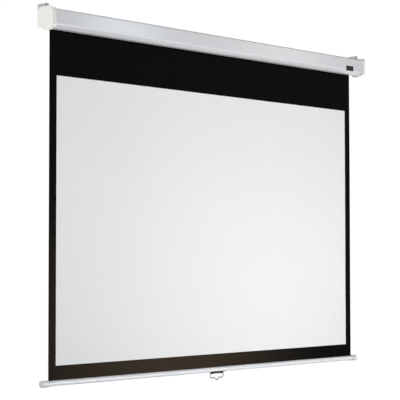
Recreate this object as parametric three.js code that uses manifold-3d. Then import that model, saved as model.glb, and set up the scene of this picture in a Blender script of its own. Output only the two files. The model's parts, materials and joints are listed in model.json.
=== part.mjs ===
// A manual pull down projector screen, drawn right down. A white painted casing with moulded end caps
// and steel hanging brackets holds a spring roller with a self-locking ratchet. The screen cloth comes
// off the back of the roller, and ends in a round weight bar with a wire pull handle.
//
// Millimetres. +Z is up, +X runs along the casing, and the screen faces -Y.
// The origin is the middle of the casing's back, which lies against the wall.

import * as THREE from 'three';
import { mergeVertices } from 'three/addons/utils/BufferGeometryUtils.js';
import Module from 'manifold-3d';

const wasm = await Module();
wasm.setup();

// Sizes that every piece shares
const gap = 0.3; // left between two pieces that seat on each other
const overrun = 3; // how far a cutting shape runs past the face it opens

// Picture and cloth
const viewWidth = 2024; // white picture area, 16:10, 94 inches corner to corner
const viewHeight = 1265;
const sideBorder = 42;
const topDrop = 197; // black cloth between the casing and the picture
const bottomBorder = 63;
const clothThickness = 0.4;
const coatThickness = 0.2; // matt white coat of the picture area
const turnsLeftOn = 2; // turns still on the roller when the screen is drawn right down

// Casing, a folded section open along a slot in its underside
const casingDepth = 102;
const casingHeight = 82;
const casingOverhang = 47; // end face of a cap beyond the cloth's edge
const casingWall = 1;
const casingTopRadius = 7;
const casingBackRadius = 2;
const chamferDepth = 31; // sloping lower front
const chamferHeight = 13;
const chamferRadius = 9;
const slotWidth = 18; // the cloth comes out here
const slotCurl = 6; // turned up edge each side of the slot
const rearRise = 9.5; // the rear lip lies this much above the bottom

// End caps
const capProud = 2.8; // beyond the casing's top and front
const capFoot = 8; // beyond the casing's bottom
const capSkirt = 24; // length along the casing
const capEndWall = 3;
const capEdgeRadius = 5;
const capCornerRadius = 9;
const capFootRadius = 6;
const bossLength = 8; // carries a roller bracket
const bossRadius = 4.5;
const cheekHeight = 8; // upstand beside the hanging bracket
const cheekLength = 86;
const cheekBackSet = 12;
const cheekRadius = 7;

// Hanging brackets, folded steel channels on the caps
const hangerSheet = 2;
const hangerLength = 54;
const hangerWidth = 18.7;
const hangerHeight = 23.5;
const hangerBend = 3;
const seamGap = 1.5; // open seam beside the foot, and round the front flap
const hangerScrewPitch = 24;
const hangerScrewShank = 4;
const hangerScrewHead = 7.6;
const hangerScrewHeadHeight = 2.6;
const hangerScrewLength = 12;
const driverHole = 8.8; // above each screw, and for ceiling screws
const chainHole = 5;
const keyholeHead = 9.2;
const keyholeNeck = 4.8;
const keyholeRise = 7; // from the head's centre to the neck's end

// Roller
const rollerDiameter = 45;
const rollerWall = 2.2;
const rollerMargin = 4; // tube beyond the cloth's edge
const rollerBack = 52; // roller axis in front of the casing's back
const stripWidth = 10; // strip that holds the cloth in the tube's groove
const stripThickness = 0.8;
const plugSpigot = 22;
const flangeThickness = 4;
const idlePinDiameter = 8;
const pinReach = 3; // shaft or pin beyond the bracket
const bushWall = 2.4;
const bushFlange = 2.6;
const bushFlangeThickness = 1.2;

// Roller brackets and their screws
const bracketThickness = 2;
const bracketDepth = 64;
const bracketHeight = 46;
const bracketCorner = 8;
const bracketScrewPitch = 48;
const bracketScrewShank = 3;
const bracketScrewHead = 6.6;
const bracketScrewHeadHeight = 2;

// Spring and its shaft
const shaftDiameter = 10;
const shaftTail = 3; // shaft beyond its guide
const spearThickness = 4; // flat end of the shaft, held in its bracket
const springTurns = 30;
const springPitch = 13;
const springWire = 3;
const springDiameter = 22; // middle of the wire
const anchorLength = 14;
const anchorWall = 8;
const guideLength = 10;

// Ratchet and pawls
const toothCount = 6;
const wheelTip = 13;
const wheelRoot = 9.5;
const wheelThickness = 5;
const toothTopShare = 0.25; // of one tooth's pitch
const toothSlopeShare = 0.45;
const pawlRadius = 19; // pivot from the roller axis
const pawlLead = 60; // degrees from the tooth that it catches
const pawlLift = 20; // degrees between caught and lifted
const pawlHub = 3.6;
const pawlHubStart = 175; // degrees, where the round of the hub starts
const pawlHubSweep = 285;
const pawlNose = 2;
const pawlNoseHeight = 3.7;
const pawlPin = 3;
const pawlPinHead = 5.6;
const pawlPinHeadHeight = 1.2;

// Weight bar
const barDiameter = 25;
const barWall = 1.2;
const barOverhang = 40.6; // end of the bar beyond the cloth's edge
const barSlot = 3;
const hemRodDiameter = 8;
const hemGrip = 5; // cloth held in the hem rod
const ballastShare = 0.72; // of the room left under the hem rod
const rodEndSpace = 2;
const barCapDiameter = 30.5;
const barCapLength = 40;
const barCapEndWall = 4.3;
const barCapDish = 1.2;
const barCapRim = 3.4;
const barCapRounding = 3.2;

// Pull handle and its saddle
const saddleLength = 96;
const saddleThickness = 1.6;
const saddleHalfWrap = 50; // degrees each side of the bar's lowest line
const wireDiameter = 4.4;
const knuckleWall = 1.7;
const knuckleWidth = 12;
const knuckleSpacing = 64; // middle to middle
const knuckleLift = 0.2;
const stubOverlap = 2; // wire beyond the knuckle's inner side
const handleWidth = 101;
const handleBottomWidth = 78;
const handleDrop = 25;
const handleWaistWidth = 42;
const handleWaistDrop = 19.5;
const handleTipDrop = 34.5;
const handleTopRadius = 7;
const handleBottomRadius = 7;
const handleWaistRadius = 5;
const handleTipRadius = 4;
const saddleScrewPitch = 24;
const saddleScrewShank = 2.6;
const saddleScrewHead = 5.2;
const saddleScrewHeadHeight = 1.4;

// Facets
const cornerSteps = 4;
const edgeSteps = 3;
const holeSteps = 16;
const screwSteps = 10;
const smallSteps = 20;
const tubeSteps = 36;
const coilSteps = 8;
const coilSides = 5;
const wireSides = 8;
const wireSteps = 72;

const fullTurn = 2 * Math.PI;
const radians = (degrees) => degrees * Math.PI / 180;
const X = new THREE.Vector3(1, 0, 0);
const Y = new THREE.Vector3(0, 1, 0);
const Z = new THREE.Vector3(0, 0, 1);

// Places along the casing, measured outwards from its middle
const clothWidth = viewWidth + 2 * sideBorder;
const capOuter = clothWidth / 2 + casingOverhang;
const capInner = capOuter - capSkirt;
const casingEnd = capOuter - capEndWall - gap;
const bossFace = capOuter - capEndWall - bossLength;
const bracketOuter = bossFace - gap;
const bracketInner = bracketOuter - bracketThickness;
const rollerEnd = clothWidth / 2 + rollerMargin;
const flangeOuter = rollerEnd + gap + flangeThickness;
const spigotInner = rollerEnd - plugSpigot;
const wheelInner = flangeOuter + gap;
const wheelOuter = wheelInner + wheelThickness;
const barEnd = clothWidth / 2 + barOverhang;
const barCapInner = barEnd - barCapLength;
const barTubeEnd = barEnd - barCapEndWall - gap;

// Places in depth (Y) and height (Z)
const casingTop = casingHeight / 2;
const casingBottom = -casingHeight / 2;
const casingFront = -casingDepth;
const casingRearBottom = casingBottom + rearRise;
const rollerRadius = rollerDiameter / 2;
const rollerBore = rollerRadius - rollerWall;
const rollInner = rollerRadius + gap;
const rollOuter = rollInner + turnsLeftOn * clothThickness;
const axisY = -rollerBack;
const clothFront = axisY + rollOuter - clothThickness + gap;
const clothMiddle = clothFront + clothThickness / 2;
const slotFrontEdge = clothMiddle - slotWidth / 2;
const slotRearEdge = clothMiddle + slotWidth / 2;
const capTop = casingTop + capProud;
const capFront = casingFront - capProud;
const capBottom = casingBottom - capFoot;
const capRearBottom = casingRearBottom - capProud;
const pictureTop = casingBottom - topDrop;
const pictureBottom = pictureTop - viewHeight;
const barTop = pictureBottom - bottomBorder;
const barRadius = barDiameter / 2;
const barBore = barRadius - barWall;
const barZ = barTop - barRadius;
const saddleInner = barRadius + gap;
const saddleOuter = saddleInner + saddleThickness;
const knuckleBore = wireDiameter / 2 + gap;
const handleZ = barZ - saddleOuter - knuckleBore - knuckleLift;

// Outline tools

// Corners are [across, up, radius]. Each corner with a radius becomes an arc.
function roundedPoints(corners, isClosed) {
  const count = corners.length;
  const at = (i) => new THREE.Vector2(...corners[(i + count) % count].slice(0, 2));
  return corners.flatMap(([, , radius = 0], i) => {
    const here = at(i);
    const isEnd = !isClosed && (i === 0 || i === count - 1);
    if (radius === 0 || isEnd) return [here];
    const back = at(i - 1).sub(here).normalize();
    const onward = at(i + 1).sub(here).normalize();
    const half = Math.acos(back.dot(onward)) / 2;
    const inward = back.clone().add(onward).normalize();
    const centre = here.clone().addScaledVector(inward, radius / Math.sin(half));
    const first = here.clone().addScaledVector(back, radius / Math.tan(half)).sub(centre);
    const turn = Math.sign(onward.cross(back)) * (Math.PI - 2 * half);
    return Array.from({ length: cornerSteps + 1 }, (_, step) => {
      const spoke = first.clone().rotateAround(new THREE.Vector2(), turn * step / cornerSteps);
      return spoke.add(centre);
    });
  });
}

// The same points moved to the left of the way they run, with mitred corners.
function shifted(points, distance, isClosed) {
  const count = points.length;
  const leftOf = (from, to) => {
    const run = to.clone().sub(from).normalize();
    return new THREE.Vector2(-run.y, run.x);
  };
  return points.map((point, i) => {
    const before = isClosed || i > 0 ? points[(i - 1 + count) % count] : null;
    const after = isClosed || i < count - 1 ? points[(i + 1) % count] : null;
    const first = before ? leftOf(before, point) : leftOf(point, after);
    const second = after ? leftOf(point, after) : first;
    const middle = first.clone().add(second).normalize();
    return point.clone().addScaledVector(middle, distance / middle.dot(first));
  });
}

// A sheet metal section, which lies to the left of its path.
function strip(corners, thickness) {
  const path = roundedPoints(corners, false);
  return [...path, ...shifted(path, thickness, false).reverse()];
}

function circle(radius, steps, [across, up] = [0, 0]) {
  return Array.from({ length: steps }, (_, step) => {
    const angle = fullTurn * step / steps;
    return new THREE.Vector2(across + radius * Math.cos(angle), up + radius * Math.sin(angle));
  });
}

function rectangle(width, height, radius = 0, [across, up] = [0, 0]) {
  const sides = [[-1, -1], [1, -1], [1, 1], [-1, 1]];
  const corners = sides.map(([a, b]) => [across + a * width / 2, up + b * height / 2, radius]);
  return roundedPoints(corners, true);
}

// Solid tools

function shapeOf(outline, holes = []) {
  const shape = new THREE.Shape(outline);
  shape.holes = holes.map((hole) => new THREE.Path(hole));
  return shape;
}

// An outline in (Y, Z), drawn along +X.
function alongX(outline, start, length, holes) {
  const settings = { depth: length, bevelEnabled: false };
  const geometry = new THREE.ExtrudeGeometry(shapeOf(outline, holes), settings);
  geometry.applyMatrix4(new THREE.Matrix4().makeBasis(Y, Z, X));
  return geometry.translate(start, 0, 0);
}

// An outline in (X, Z), drawn forwards, along -Y.
function forwards(outline, start, length) {
  const settings = { depth: length, bevelEnabled: false };
  const geometry = new THREE.ExtrudeGeometry(shapeOf(outline), settings);
  geometry.applyMatrix4(new THREE.Matrix4().makeBasis(X, Z, Y.clone().negate()));
  return geometry.translate(0, start, 0);
}

// A round bar along X, Y or Z between two places on that axis.
function roundBar(axis, radius, from, to, at, steps = holeSteps) {
  const geometry = new THREE.CylinderGeometry(radius, radius, to - from, steps);
  geometry.applyQuaternion(new THREE.Quaternion().setFromUnitVectors(Y, axis));
  geometry.translate(at.x, at.y, at.z);
  const middle = axis.clone().multiplyScalar((from + to) / 2);
  return geometry.translate(middle.x, middle.y, middle.z);
}

// A profile of [radius, x] turned about a line along X.
function turned(profile, y, z, steps) {
  const points = profile.map(([radius, x]) => new THREE.Vector2(radius, x));
  const geometry = new THREE.LatheGeometry(points, steps);
  geometry.applyMatrix4(new THREE.Matrix4().makeBasis(Y.clone().negate(), X, Z));
  return geometry.translate(0, y, z);
}

// A ring whose profile closes on itself.
function turnedRing(inner, outer, from, to, y, z, steps) {
  const profile = [[inner, from], [outer, from], [outer, to], [inner, to], [inner, from]];
  return turned(profile, y, z, steps);
}

function block(low, high) {
  const size = high.clone().sub(low);
  const middle = high.clone().add(low).multiplyScalar(1 / 2);
  return new THREE.BoxGeometry(size.x, size.y, size.z).translate(middle.x, middle.y, middle.z);
}

const point = (x, y, z) => new THREE.Vector3(x, y, z);

function solid(geometry) {
  const bare = geometry.index ? geometry.toNonIndexed() : geometry.clone();
  bare.deleteAttribute('normal');
  bare.deleteAttribute('uv');
  const merged = mergeVertices(bare);
  return new wasm.Manifold(new wasm.Mesh({
    numProp: 3,
    vertProperties: merged.attributes.position.array,
    triVerts: new Uint32Array(merged.index.array),
  }));
}

function geometryOf(made) {
  const { vertProperties, triVerts } = made.getMesh();
  const geometry = new THREE.BufferGeometry();
  geometry.setAttribute('position', new THREE.BufferAttribute(vertProperties, 3));
  geometry.setIndex(new THREE.BufferAttribute(triVerts, 1));
  const faceted = geometry.toNonIndexed();
  faceted.computeVertexNormals();
  return faceted;
}

function cut(body, ...tools) {
  return geometryOf(tools.reduce((left, tool) => left.subtract(solid(tool)), solid(body)));
}

function join(body, ...others) {
  return geometryOf(others.reduce((sum, other) => sum.add(solid(other)), solid(body)));
}

// Finishes
const casingPaint = { color: 0xd9dbdd, roughness: 0.25, metalness: 0 };
const capPlastic = { color: 0xe6e5dd, roughness: 0.45, metalness: 0 };
const zincSteel = { color: 0xa6a8a8, roughness: 0.42, metalness: 0.9 };
const brightScrew = { color: 0xc4c6c8, roughness: 0.3, metalness: 1 };
const rollerAluminium = { color: 0xc9ccce, roughness: 0.35, metalness: 1 };
const plugNylon = { color: 0xe2e0d8, roughness: 0.5, metalness: 0 };
const darkSteel = { color: 0x4a4b4c, roughness: 0.45, metalness: 0.9 };
const springSteel = { color: 0x6d6c69, roughness: 0.4, metalness: 0.95 };
const clothBlack = { color: 0x0d0d0d, roughness: 0.85, metalness: 0 };
const clothWhite = { color: 0xe2e4e3, roughness: 0.95, metalness: 0 };
const barPaint = { color: 0xdfe1e5, roughness: 0.3, metalness: 0 };
const barCapPlastic = { color: 0xdadcda, roughness: 0.4, metalness: 0 };
const blackSteel = { color: 0x24221e, roughness: 0.45, metalness: 0.8 };
const handleWire = { color: 0x7d7d7a, roughness: 0.3, metalness: 1 };

const screen = new THREE.Group();

// Sided pieces are drawn on the right, with +X outwards, and side -1 mirrors them.
const sides = [['left', -1], ['right', 1]];

function add(name, geometry, finish, side = 1) {
  const mesh = new THREE.Mesh(geometry, new THREE.MeshStandardMaterial(finish));
  mesh.name = name;
  mesh.scale.x = side;
  screen.add(mesh);
  return mesh;
}

// A pan head screw that points down its own -Y, with the head's seat at zero.
function panHeadScrew(shank, length, head, headHeight) {
  const profile = [
    [0, -length],
    [shank / 4, -length],
    [shank / 2, shank / 2 - length],
    [shank / 2, 0],
    [head / 2, 0],
    [head / 2, headHeight / 2],
    [head / 3, headHeight],
    [0, headHeight],
  ];
  const points = profile.map(([radius, height]) => new THREE.Vector2(radius, height));
  return new THREE.LatheGeometry(points, screwSteps);
}

// Casing
const casingCorners = {
  rearLip: [slotRearEdge, casingRearBottom],
  rearBottom: [0, casingRearBottom, casingBackRadius],
  rearTop: [0, casingTop, casingBackRadius],
  frontTop: [casingFront, casingTop, casingTopRadius],
  frontLow: [casingFront, casingBottom + chamferHeight, chamferRadius],
  bottomFront: [casingFront + chamferDepth, casingBottom, chamferRadius],
  bottomLip: [slotFrontEdge, casingBottom],
};

function casingPath() {
  const corners = Object.values(casingCorners);
  const rearCurl = [slotRearEdge, casingRearBottom + slotCurl];
  const frontCurl = [slotFrontEdge, casingBottom + slotCurl];
  const bend = casingBackRadius + casingWall;
  const folded = corners.map(([y, z, radius = bend]) => [y, z, radius]);
  return [rearCurl, ...folded, frontCurl];
}

const hangerMiddleX = casingEnd - hangerWidth / 2;
const hangerScrewPlaces = [-1, 1].map((step) => ({
  label: step < 0 ? 'front' : 'rear',
  y: -hangerLength / 2 + step * hangerScrewPitch / 2,
}));

function hangerScrewHoles(side, low, high) {
  const radius = hangerScrewShank / 2 + gap;
  const holeAt = ({ y }) => roundBar(Z, radius, low, high, point(side * hangerMiddleX, y, 0));
  return hangerScrewPlaces.map(holeAt);
}

function addCasing() {
  const section = strip(casingPath(), casingWall);
  const shell = alongX(section, -casingEnd, 2 * casingEnd);
  const low = casingTop - casingWall - overrun;
  const holes = sides.flatMap(([, side]) => hangerScrewHoles(side, low, casingTop + overrun));
  add('casing', cut(shell, ...holes), casingPaint);
}

// End caps: a moulded end wall and skirt round the casing, open at the back so that it lies flat.
function capOutline() {
  return roundedPoints([
    [0, capRearBottom, capFootRadius],
    [0, capTop, capFootRadius],
    [capFront, capTop, capCornerRadius],
    [capFront, capBottom + chamferHeight, capCornerRadius],
    [casingFront + chamferDepth, capBottom, capCornerRadius],
    [slotFrontEdge, capBottom, capFootRadius],
    [slotRearEdge, capRearBottom, capFootRadius],
  ], true);
}

function capBody() {
  const settings = {
    depth: capSkirt - capEdgeRadius,
    bevelThickness: capEdgeRadius,
    bevelSize: capEdgeRadius,
    bevelOffset: -capEdgeRadius,
    bevelSegments: edgeSteps,
  };
  const geometry = new THREE.ExtrudeGeometry(shapeOf(capOutline()), settings);
  geometry.applyMatrix4(new THREE.Matrix4().makeBasis(Y, Z, X));
  geometry.translate(capInner, 0, 0);
  const behind = overrun + capEdgeRadius;
  const low = point(capInner - behind, capFront - overrun, capBottom - overrun);
  const high = point(capInner, overrun, capTop + overrun);
  return cut(geometry, block(low, high));
}

function capCheek() {
  const front = -cheekBackSet - cheekLength;
  const outline = roundedPoints([
    [front, capTop - 2 * capEdgeRadius],
    [-cheekBackSet, capTop - 2 * capEdgeRadius],
    [-cheekBackSet, capTop + cheekHeight, capEdgeRadius],
    [front, capTop + cheekHeight, cheekRadius],
  ], true);
  return alongX(outline, capOuter - capEndWall, capEndWall);
}

const bracketScrewPlaces = [-1, 1].map((step) => ({
  label: step < 0 ? 'front' : 'rear',
  y: axisY + step * bracketScrewPitch / 2,
}));

function endCap() {
  const silhouette = roundedPoints(Object.values(casingCorners), true);
  const pocket = shifted(silhouette, -gap, true);
  const pocketFace = capOuter - capEndWall;
  const hollow = alongX(pocket, capInner - overrun, capSkirt - capEndWall + overrun);
  const bossEnd = capOuter - capEndWall / 2;
  const bossAt = ({ y }) => roundBar(X, bossRadius, bossFace, bossEnd, point(0, y, 0));
  const pilotRadius = bracketScrewShank / 2 + gap;
  const pilotAt = ({ y }) => roundBar(X, pilotRadius, bossFace - overrun, pocketFace, point(0, y, 0));
  const shell = cut(join(capBody(), capCheek()), hollow);
  const bossed = join(shell, ...bracketScrewPlaces.map(bossAt));
  const topHoles = hangerScrewHoles(1, casingTop, capTop + overrun);
  return cut(bossed, ...bracketScrewPlaces.map(pilotAt), ...topHoles);
}

function addEndCaps() {
  for (const [label, side] of sides) add(`end_cap_${label}`, endCap(), capPlastic, side);
}

// Hanging brackets: a channel with a foot inside it, a keyhole tab behind, a flap folded down in front
// and driver holes on top.
const hangerBase = capTop + gap;
const hangerTop = hangerBase + hangerHeight;

function hangerSection() {
  const inner = casingEnd - hangerWidth;
  return strip([
    [casingEnd, hangerBase],
    [casingEnd, hangerTop, hangerBend],
    [inner, hangerTop, hangerBend],
    [inner, hangerBase, hangerBend],
    [casingEnd - hangerSheet - seamGap, hangerBase],
  ], hangerSheet);
}

function keyhole() {
  const headZ = hangerBase + hangerSheet + keyholeHead / 2 + gap;
  const neckZ = headZ + keyholeRise;
  const half = keyholeNeck / 2;
  const head = roundBar(Y, keyholeHead / 2, -hangerSheet - overrun, overrun, point(hangerMiddleX, 0, headZ));
  const neck = roundBar(Y, half, -hangerSheet - overrun, overrun, point(hangerMiddleX, 0, neckZ));
  const low = point(hangerMiddleX - half, -hangerSheet - overrun, headZ);
  const high = point(hangerMiddleX + half, overrun, neckZ);
  return [head, neck, block(low, high)];
}

function hanger() {
  const channel = forwards(hangerSection(), 0, hangerLength);
  const weld = hangerSheet / 2;
  const tabLow = point(casingEnd - hangerWidth + weld, -hangerSheet, hangerBase + weld);
  const tabHigh = point(casingEnd - weld, 0, hangerTop - weld);
  const seam = hangerSheet + seamGap;
  const flapLow = point(casingEnd - hangerWidth + seam, -hangerLength, hangerBase + seam);
  const flapHigh = point(casingEnd - seam, hangerSheet - hangerLength, hangerTop - weld);
  const holeTop = hangerTop + overrun;
  const driverAt = ({ y }) => (
    roundBar(Z, driverHole / 2, hangerTop - hangerSheet - overrun, holeTop, point(hangerMiddleX, y, 0))
  );
  const chainZ = hangerTop - hangerSheet - chainHole / 2 - gap;
  const chain = roundBar(
    X,
    chainHole / 2,
    casingEnd - hangerWidth - overrun,
    casingEnd + overrun,
    point(0, -hangerLength / 2, chainZ),
  );
  const footHoles = hangerScrewHoles(1, hangerBase - overrun, hangerBase + hangerSheet + overrun);
  const folded = join(channel, block(tabLow, tabHigh), block(flapLow, flapHigh));
  return cut(folded, ...hangerScrewPlaces.map(driverAt), chain, ...footHoles, ...keyhole());
}

function hangerScrew(y) {
  const geometry = panHeadScrew(
    hangerScrewShank,
    hangerScrewLength,
    hangerScrewHead,
    hangerScrewHeadHeight,
  );
  geometry.rotateX(Math.PI / 2);
  return geometry.translate(hangerMiddleX, y, hangerBase + hangerSheet + gap);
}

function addHangers() {
  for (const [label, side] of sides) {
    add(`hanger_${label}`, hanger(), zincSteel, side);
    for (const place of hangerScrewPlaces) {
      add(`hanger_screw_${label}_${place.label}`, hangerScrew(place.y), brightScrew, side);
    }
  }
}

// Roller brackets: the left one holds the flat end of the spring shaft, the right one a round bush.
const spearWidth = shaftDiameter;
const bushOuter = idlePinDiameter / 2 + gap + bushWall;

function rollerBracket(opening) {
  const outline = rectangle(bracketDepth, bracketHeight, bracketCorner, [axisY, 0]);
  const screwHole = ({ y }) => circle(bracketScrewShank / 2 + gap, holeSteps, [y, 0]);
  const holes = [opening, ...bracketScrewPlaces.map(screwHole)];
  return alongX(outline, bracketInner, bracketThickness, holes);
}

function bracketScrew(y) {
  const reach = bossLength - capEndWall / 2;
  const length = bracketThickness + 2 * gap + reach;
  const geometry = panHeadScrew(
    bracketScrewShank,
    length,
    bracketScrewHead,
    bracketScrewHeadHeight,
  );
  geometry.rotateZ(Math.PI / 2);
  return geometry.translate(bracketInner - gap, y, 0);
}

function addRollerBrackets() {
  const spearSlot = rectangle(spearWidth + 2 * gap, spearThickness + 2 * gap, 0, [axisY, 0]);
  const bushHole = circle(bushOuter + gap, smallSteps, [axisY, 0]);
  add('roller_bracket_left', rollerBracket(spearSlot), zincSteel, -1);
  add('roller_bracket_right', rollerBracket(bushHole), zincSteel);
  for (const [label, side] of sides) {
    for (const place of bracketScrewPlaces) {
      add(`bracket_screw_${label}_${place.label}`, bracketScrew(place.y), brightScrew, side);
    }
  }
}

function addIdleBush() {
  const bore = idlePinDiameter / 2 + gap;
  const flange = bushOuter + gap + bushFlange;
  const seat = bracketInner - gap;
  const profile = [
    [bore, seat - bushFlangeThickness],
    [flange, seat - bushFlangeThickness],
    [flange, seat],
    [bushOuter, seat],
    [bushOuter, bracketOuter],
    [bore, bracketOuter],
    [bore, seat - bushFlangeThickness],
  ];
  add('idle_bush', turned(profile, axisY, 0, smallSteps), plugNylon);
}

// Roller: a tube with a shallow groove on top, where a strip holds the end of the cloth.
const grooveDepth = stripThickness + gap;
const grooveHalf = stripWidth / 2 + gap;

function addRollerTube() {
  const edge = Math.asin(grooveHalf / rollerRadius);
  const start = Math.PI / 2 + edge;
  const sweep = fullTurn - 2 * edge;
  const outline = Array.from({ length: tubeSteps + 1 }, (_, step) => {
    const angle = start + sweep * step / tubeSteps;
    return new THREE.Vector2(
      axisY + rollerRadius * Math.cos(angle),
      rollerRadius * Math.sin(angle),
    );
  });
  const floor = rollerRadius * Math.cos(edge) - grooveDepth;
  outline.push(new THREE.Vector2(axisY + grooveHalf, floor));
  outline.push(new THREE.Vector2(axisY - grooveHalf, floor));
  const bore = circle(rollerBore, tubeSteps, [axisY, 0]);
  add('roller_tube', alongX(outline, -rollerEnd, 2 * rollerEnd, [bore]), rollerAluminium);
  const stripZ = floor + gap + stripThickness / 2;
  const section = rectangle(stripWidth, stripThickness, 0, [axisY, stripZ]);
  add('cloth_strip', alongX(section, -clothWidth / 2, clothWidth), plugNylon);
}

// Cloth still wound on the roller. Its last lap ends where the hanging cloth leaves it.
function addWoundTurns() {
  const outline = Array.from({ length: tubeSteps + 1 }, (_, step) => {
    const share = step / tubeSteps;
    const radius = rollOuter - clothThickness * share;
    const angle = fullTurn * share;
    return new THREE.Vector2(axisY + radius * Math.cos(angle), radius * Math.sin(angle));
  });
  const bore = circle(rollInner, tubeSteps, [axisY, 0]);
  add('wound_turns', alongX(outline, -clothWidth / 2, clothWidth, [bore]), clothBlack);
}

// Roller ends
function plugProfile(bore) {
  const spigot = rollerBore - gap;
  const seat = rollerEnd + gap;
  return [
    [bore, spigotInner],
    [spigot - gap, spigotInner],
    [spigot, spigotInner + gap],
    [spigot, seat],
    [rollerRadius, seat],
    [rollerRadius, flangeOuter],
    [bore, flangeOuter],
    [bore, spigotInner],
  ];
}

const pawlPivots = [['upper', 0], ['lower', Math.PI]].map(([label, turn]) => {
  const angle = Math.PI / 2 - radians(pawlLead) + turn;
  return {
    label,
    turn,
    y: axisY + pawlRadius * Math.cos(angle),
    z: pawlRadius * Math.sin(angle),
  };
});

function addRollerEnds() {
  const plug = turned(plugProfile(shaftDiameter / 2 + gap), axisY, 0, tubeSteps);
  const pinRadius = pawlPin / 2 + gap;
  const holeAt = ({ y, z }) => (
    roundBar(X, pinRadius, rollerEnd - overrun, flangeOuter + overrun, point(0, y, z))
  );
  add('spring_end_plug', cut(plug, ...pawlPivots.map(holeAt)), plugNylon, -1);
  const idlePlug = turned(plugProfile(idlePinDiameter / 2 + gap), axisY, 0, tubeSteps);
  add('idle_end_plug', idlePlug, plugNylon);
}

function addIdlePin() {
  const radius = idlePinDiameter / 2;
  const end = bracketOuter + pinReach;
  const pin = [
    [0, spigotInner],
    [radius, spigotInner],
    [radius, end - gap],
    [radius - gap, end],
    [0, end],
  ];
  add('idle_pin', turned(pin, axisY, 0, smallSteps), brightScrew);
}

// Spring drive: a still shaft in the left bracket, and a coil from its anchor to the turning plug.
const springOuter = spigotInner - gap - springWire / 2;
const springInner = springOuter - springTurns * springPitch;
const anchorOuter = springInner - springWire / 2 - gap;
const anchorInner = anchorOuter - anchorLength;
const guideOuter = anchorInner - gap;
const guideInner = guideOuter - guideLength;

function addSpringShaft() {
  const radius = shaftDiameter / 2;
  const tail = guideInner - shaftTail;
  const shoulder = wheelInner - gap;
  const spearEnd = bracketOuter + pinReach;
  const round = roundBar(X, radius, tail, shoulder, point(0, axisY, 0), smallSteps);
  const bar = roundBar(X, radius, shoulder - overrun, spearEnd, point(0, axisY, 0), smallSteps);
  const low = point(shoulder - overrun, axisY - shaftDiameter, spearThickness / 2);
  const high = point(spearEnd + overrun, axisY + shaftDiameter, shaftDiameter);
  const above = block(low, high);
  const below = above.clone().rotateX(Math.PI).translate(0, 2 * axisY, 0);
  add('spring_shaft', join(round, cut(bar, above, below)), springSteel, -1);
}

class Coil extends THREE.Curve {
  getPoint(share, target = new THREE.Vector3()) {
    const angle = fullTurn * springTurns * share;
    const along = springInner + (springOuter - springInner) * share;
    const radius = springDiameter / 2;
    return target.set(along, axisY + radius * Math.cos(angle), radius * Math.sin(angle));
  }
}

function addSpring() {
  const wire = new THREE.Shape(circle(springWire / 2, coilSides));
  const steps = springTurns * coilSteps;
  const settings = { steps, extrudePath: new Coil(), bevelEnabled: false };
  add('torsion_spring', new THREE.ExtrudeGeometry(wire, settings), springSteel, -1);
  const bore = shaftDiameter / 2 + gap;
  const anchor = turnedRing(bore, bore + anchorWall, anchorInner, anchorOuter, axisY, 0, smallSteps);
  add('spring_anchor', anchor, darkSteel, -1);
  const guide = turnedRing(bore, rollerBore - gap, guideInner, guideOuter, axisY, 0, tubeSteps);
  add('shaft_guide', guide, plugNylon, -1);
}

// Ratchet wheel, fixed on the flat end of the shaft. Its steep faces stop a pawl that winds up.
function addRatchetWheel() {
  const pitch = fullTurn / toothCount;
  const at = (radius, angle) => (
    new THREE.Vector2(axisY + radius * Math.cos(angle), radius * Math.sin(angle))
  );
  const outline = Array.from({ length: toothCount }, (_, tooth) => {
    const face = Math.PI / 2 + tooth * pitch;
    const top = face + toothTopShare * pitch;
    return [
      at(wheelRoot, face),
      at(wheelTip, face),
      at(wheelTip, top),
      at(wheelRoot, top + toothSlopeShare * pitch),
    ];
  }).flat();
  const slot = rectangle(spearWidth + 2 * gap, spearThickness + 2 * gap, 0, [axisY, 0]);
  add('ratchet_wheel', alongX(outline, wheelInner, wheelThickness, [slot]), darkSteel, -1);
}

// A pawl is drawn caught in its tooth, then lifted about its pivot, which is how it rides.
function pawl({ y, z, turn }) {
  const lead = Math.PI / 2 - radians(pawlLead);
  const pivot = new THREE.Vector2(pawlRadius * Math.cos(lead), pawlRadius * Math.sin(lead));
  const floor = wheelRoot + gap;
  const hub = Array.from({ length: holeSteps + 1 }, (_, step) => {
    const angle = radians(pawlHubStart + pawlHubSweep * step / holeSteps);
    return new THREE.Vector2(
      pivot.x + pawlHub * Math.cos(angle),
      pivot.y + pawlHub * Math.sin(angle),
    );
  });
  const outline = [
    new THREE.Vector2(gap, floor),
    new THREE.Vector2(gap + pawlNose, floor),
    ...hub,
    new THREE.Vector2(gap, floor + pawlNoseHeight),
  ];
  const bore = circle(pawlPin / 2 + gap, holeSteps, pivot.toArray());
  const geometry = alongX(outline, wheelInner, wheelThickness, [bore]);
  geometry.translate(0, -pivot.x, -pivot.y);
  geometry.rotateX(turn - radians(pawlLift));
  return geometry.translate(0, y, z);
}

function pawlPinGeometry({ y, z }) {
  const seat = wheelOuter + gap;
  const radius = pawlPin / 2;
  const profile = [
    [0, rollerEnd + gap],
    [radius, rollerEnd + gap],
    [radius, seat],
    [pawlPinHead / 2, seat],
    [pawlPinHead / 2, seat + pawlPinHeadHeight / 2],
    [pawlPinHead / 3, seat + pawlPinHeadHeight],
    [0, seat + pawlPinHeadHeight],
  ];
  return turned(profile, y, z, screwSteps);
}

function addPawls() {
  for (const place of pawlPivots) {
    add(`pawl_${place.label}`, pawl(place), darkSteel, -1);
    add(`pawl_pin_${place.label}`, pawlPinGeometry(place), brightScrew, -1);
  }
}

// Screen cloth, black through and behind, with its matt white coat on the picture area.
const hemRodZ = barZ + barBore - gap - hemRodDiameter / 2;
const slitBottom = hemRodZ + hemRodDiameter / 2 - hemGrip;

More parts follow.
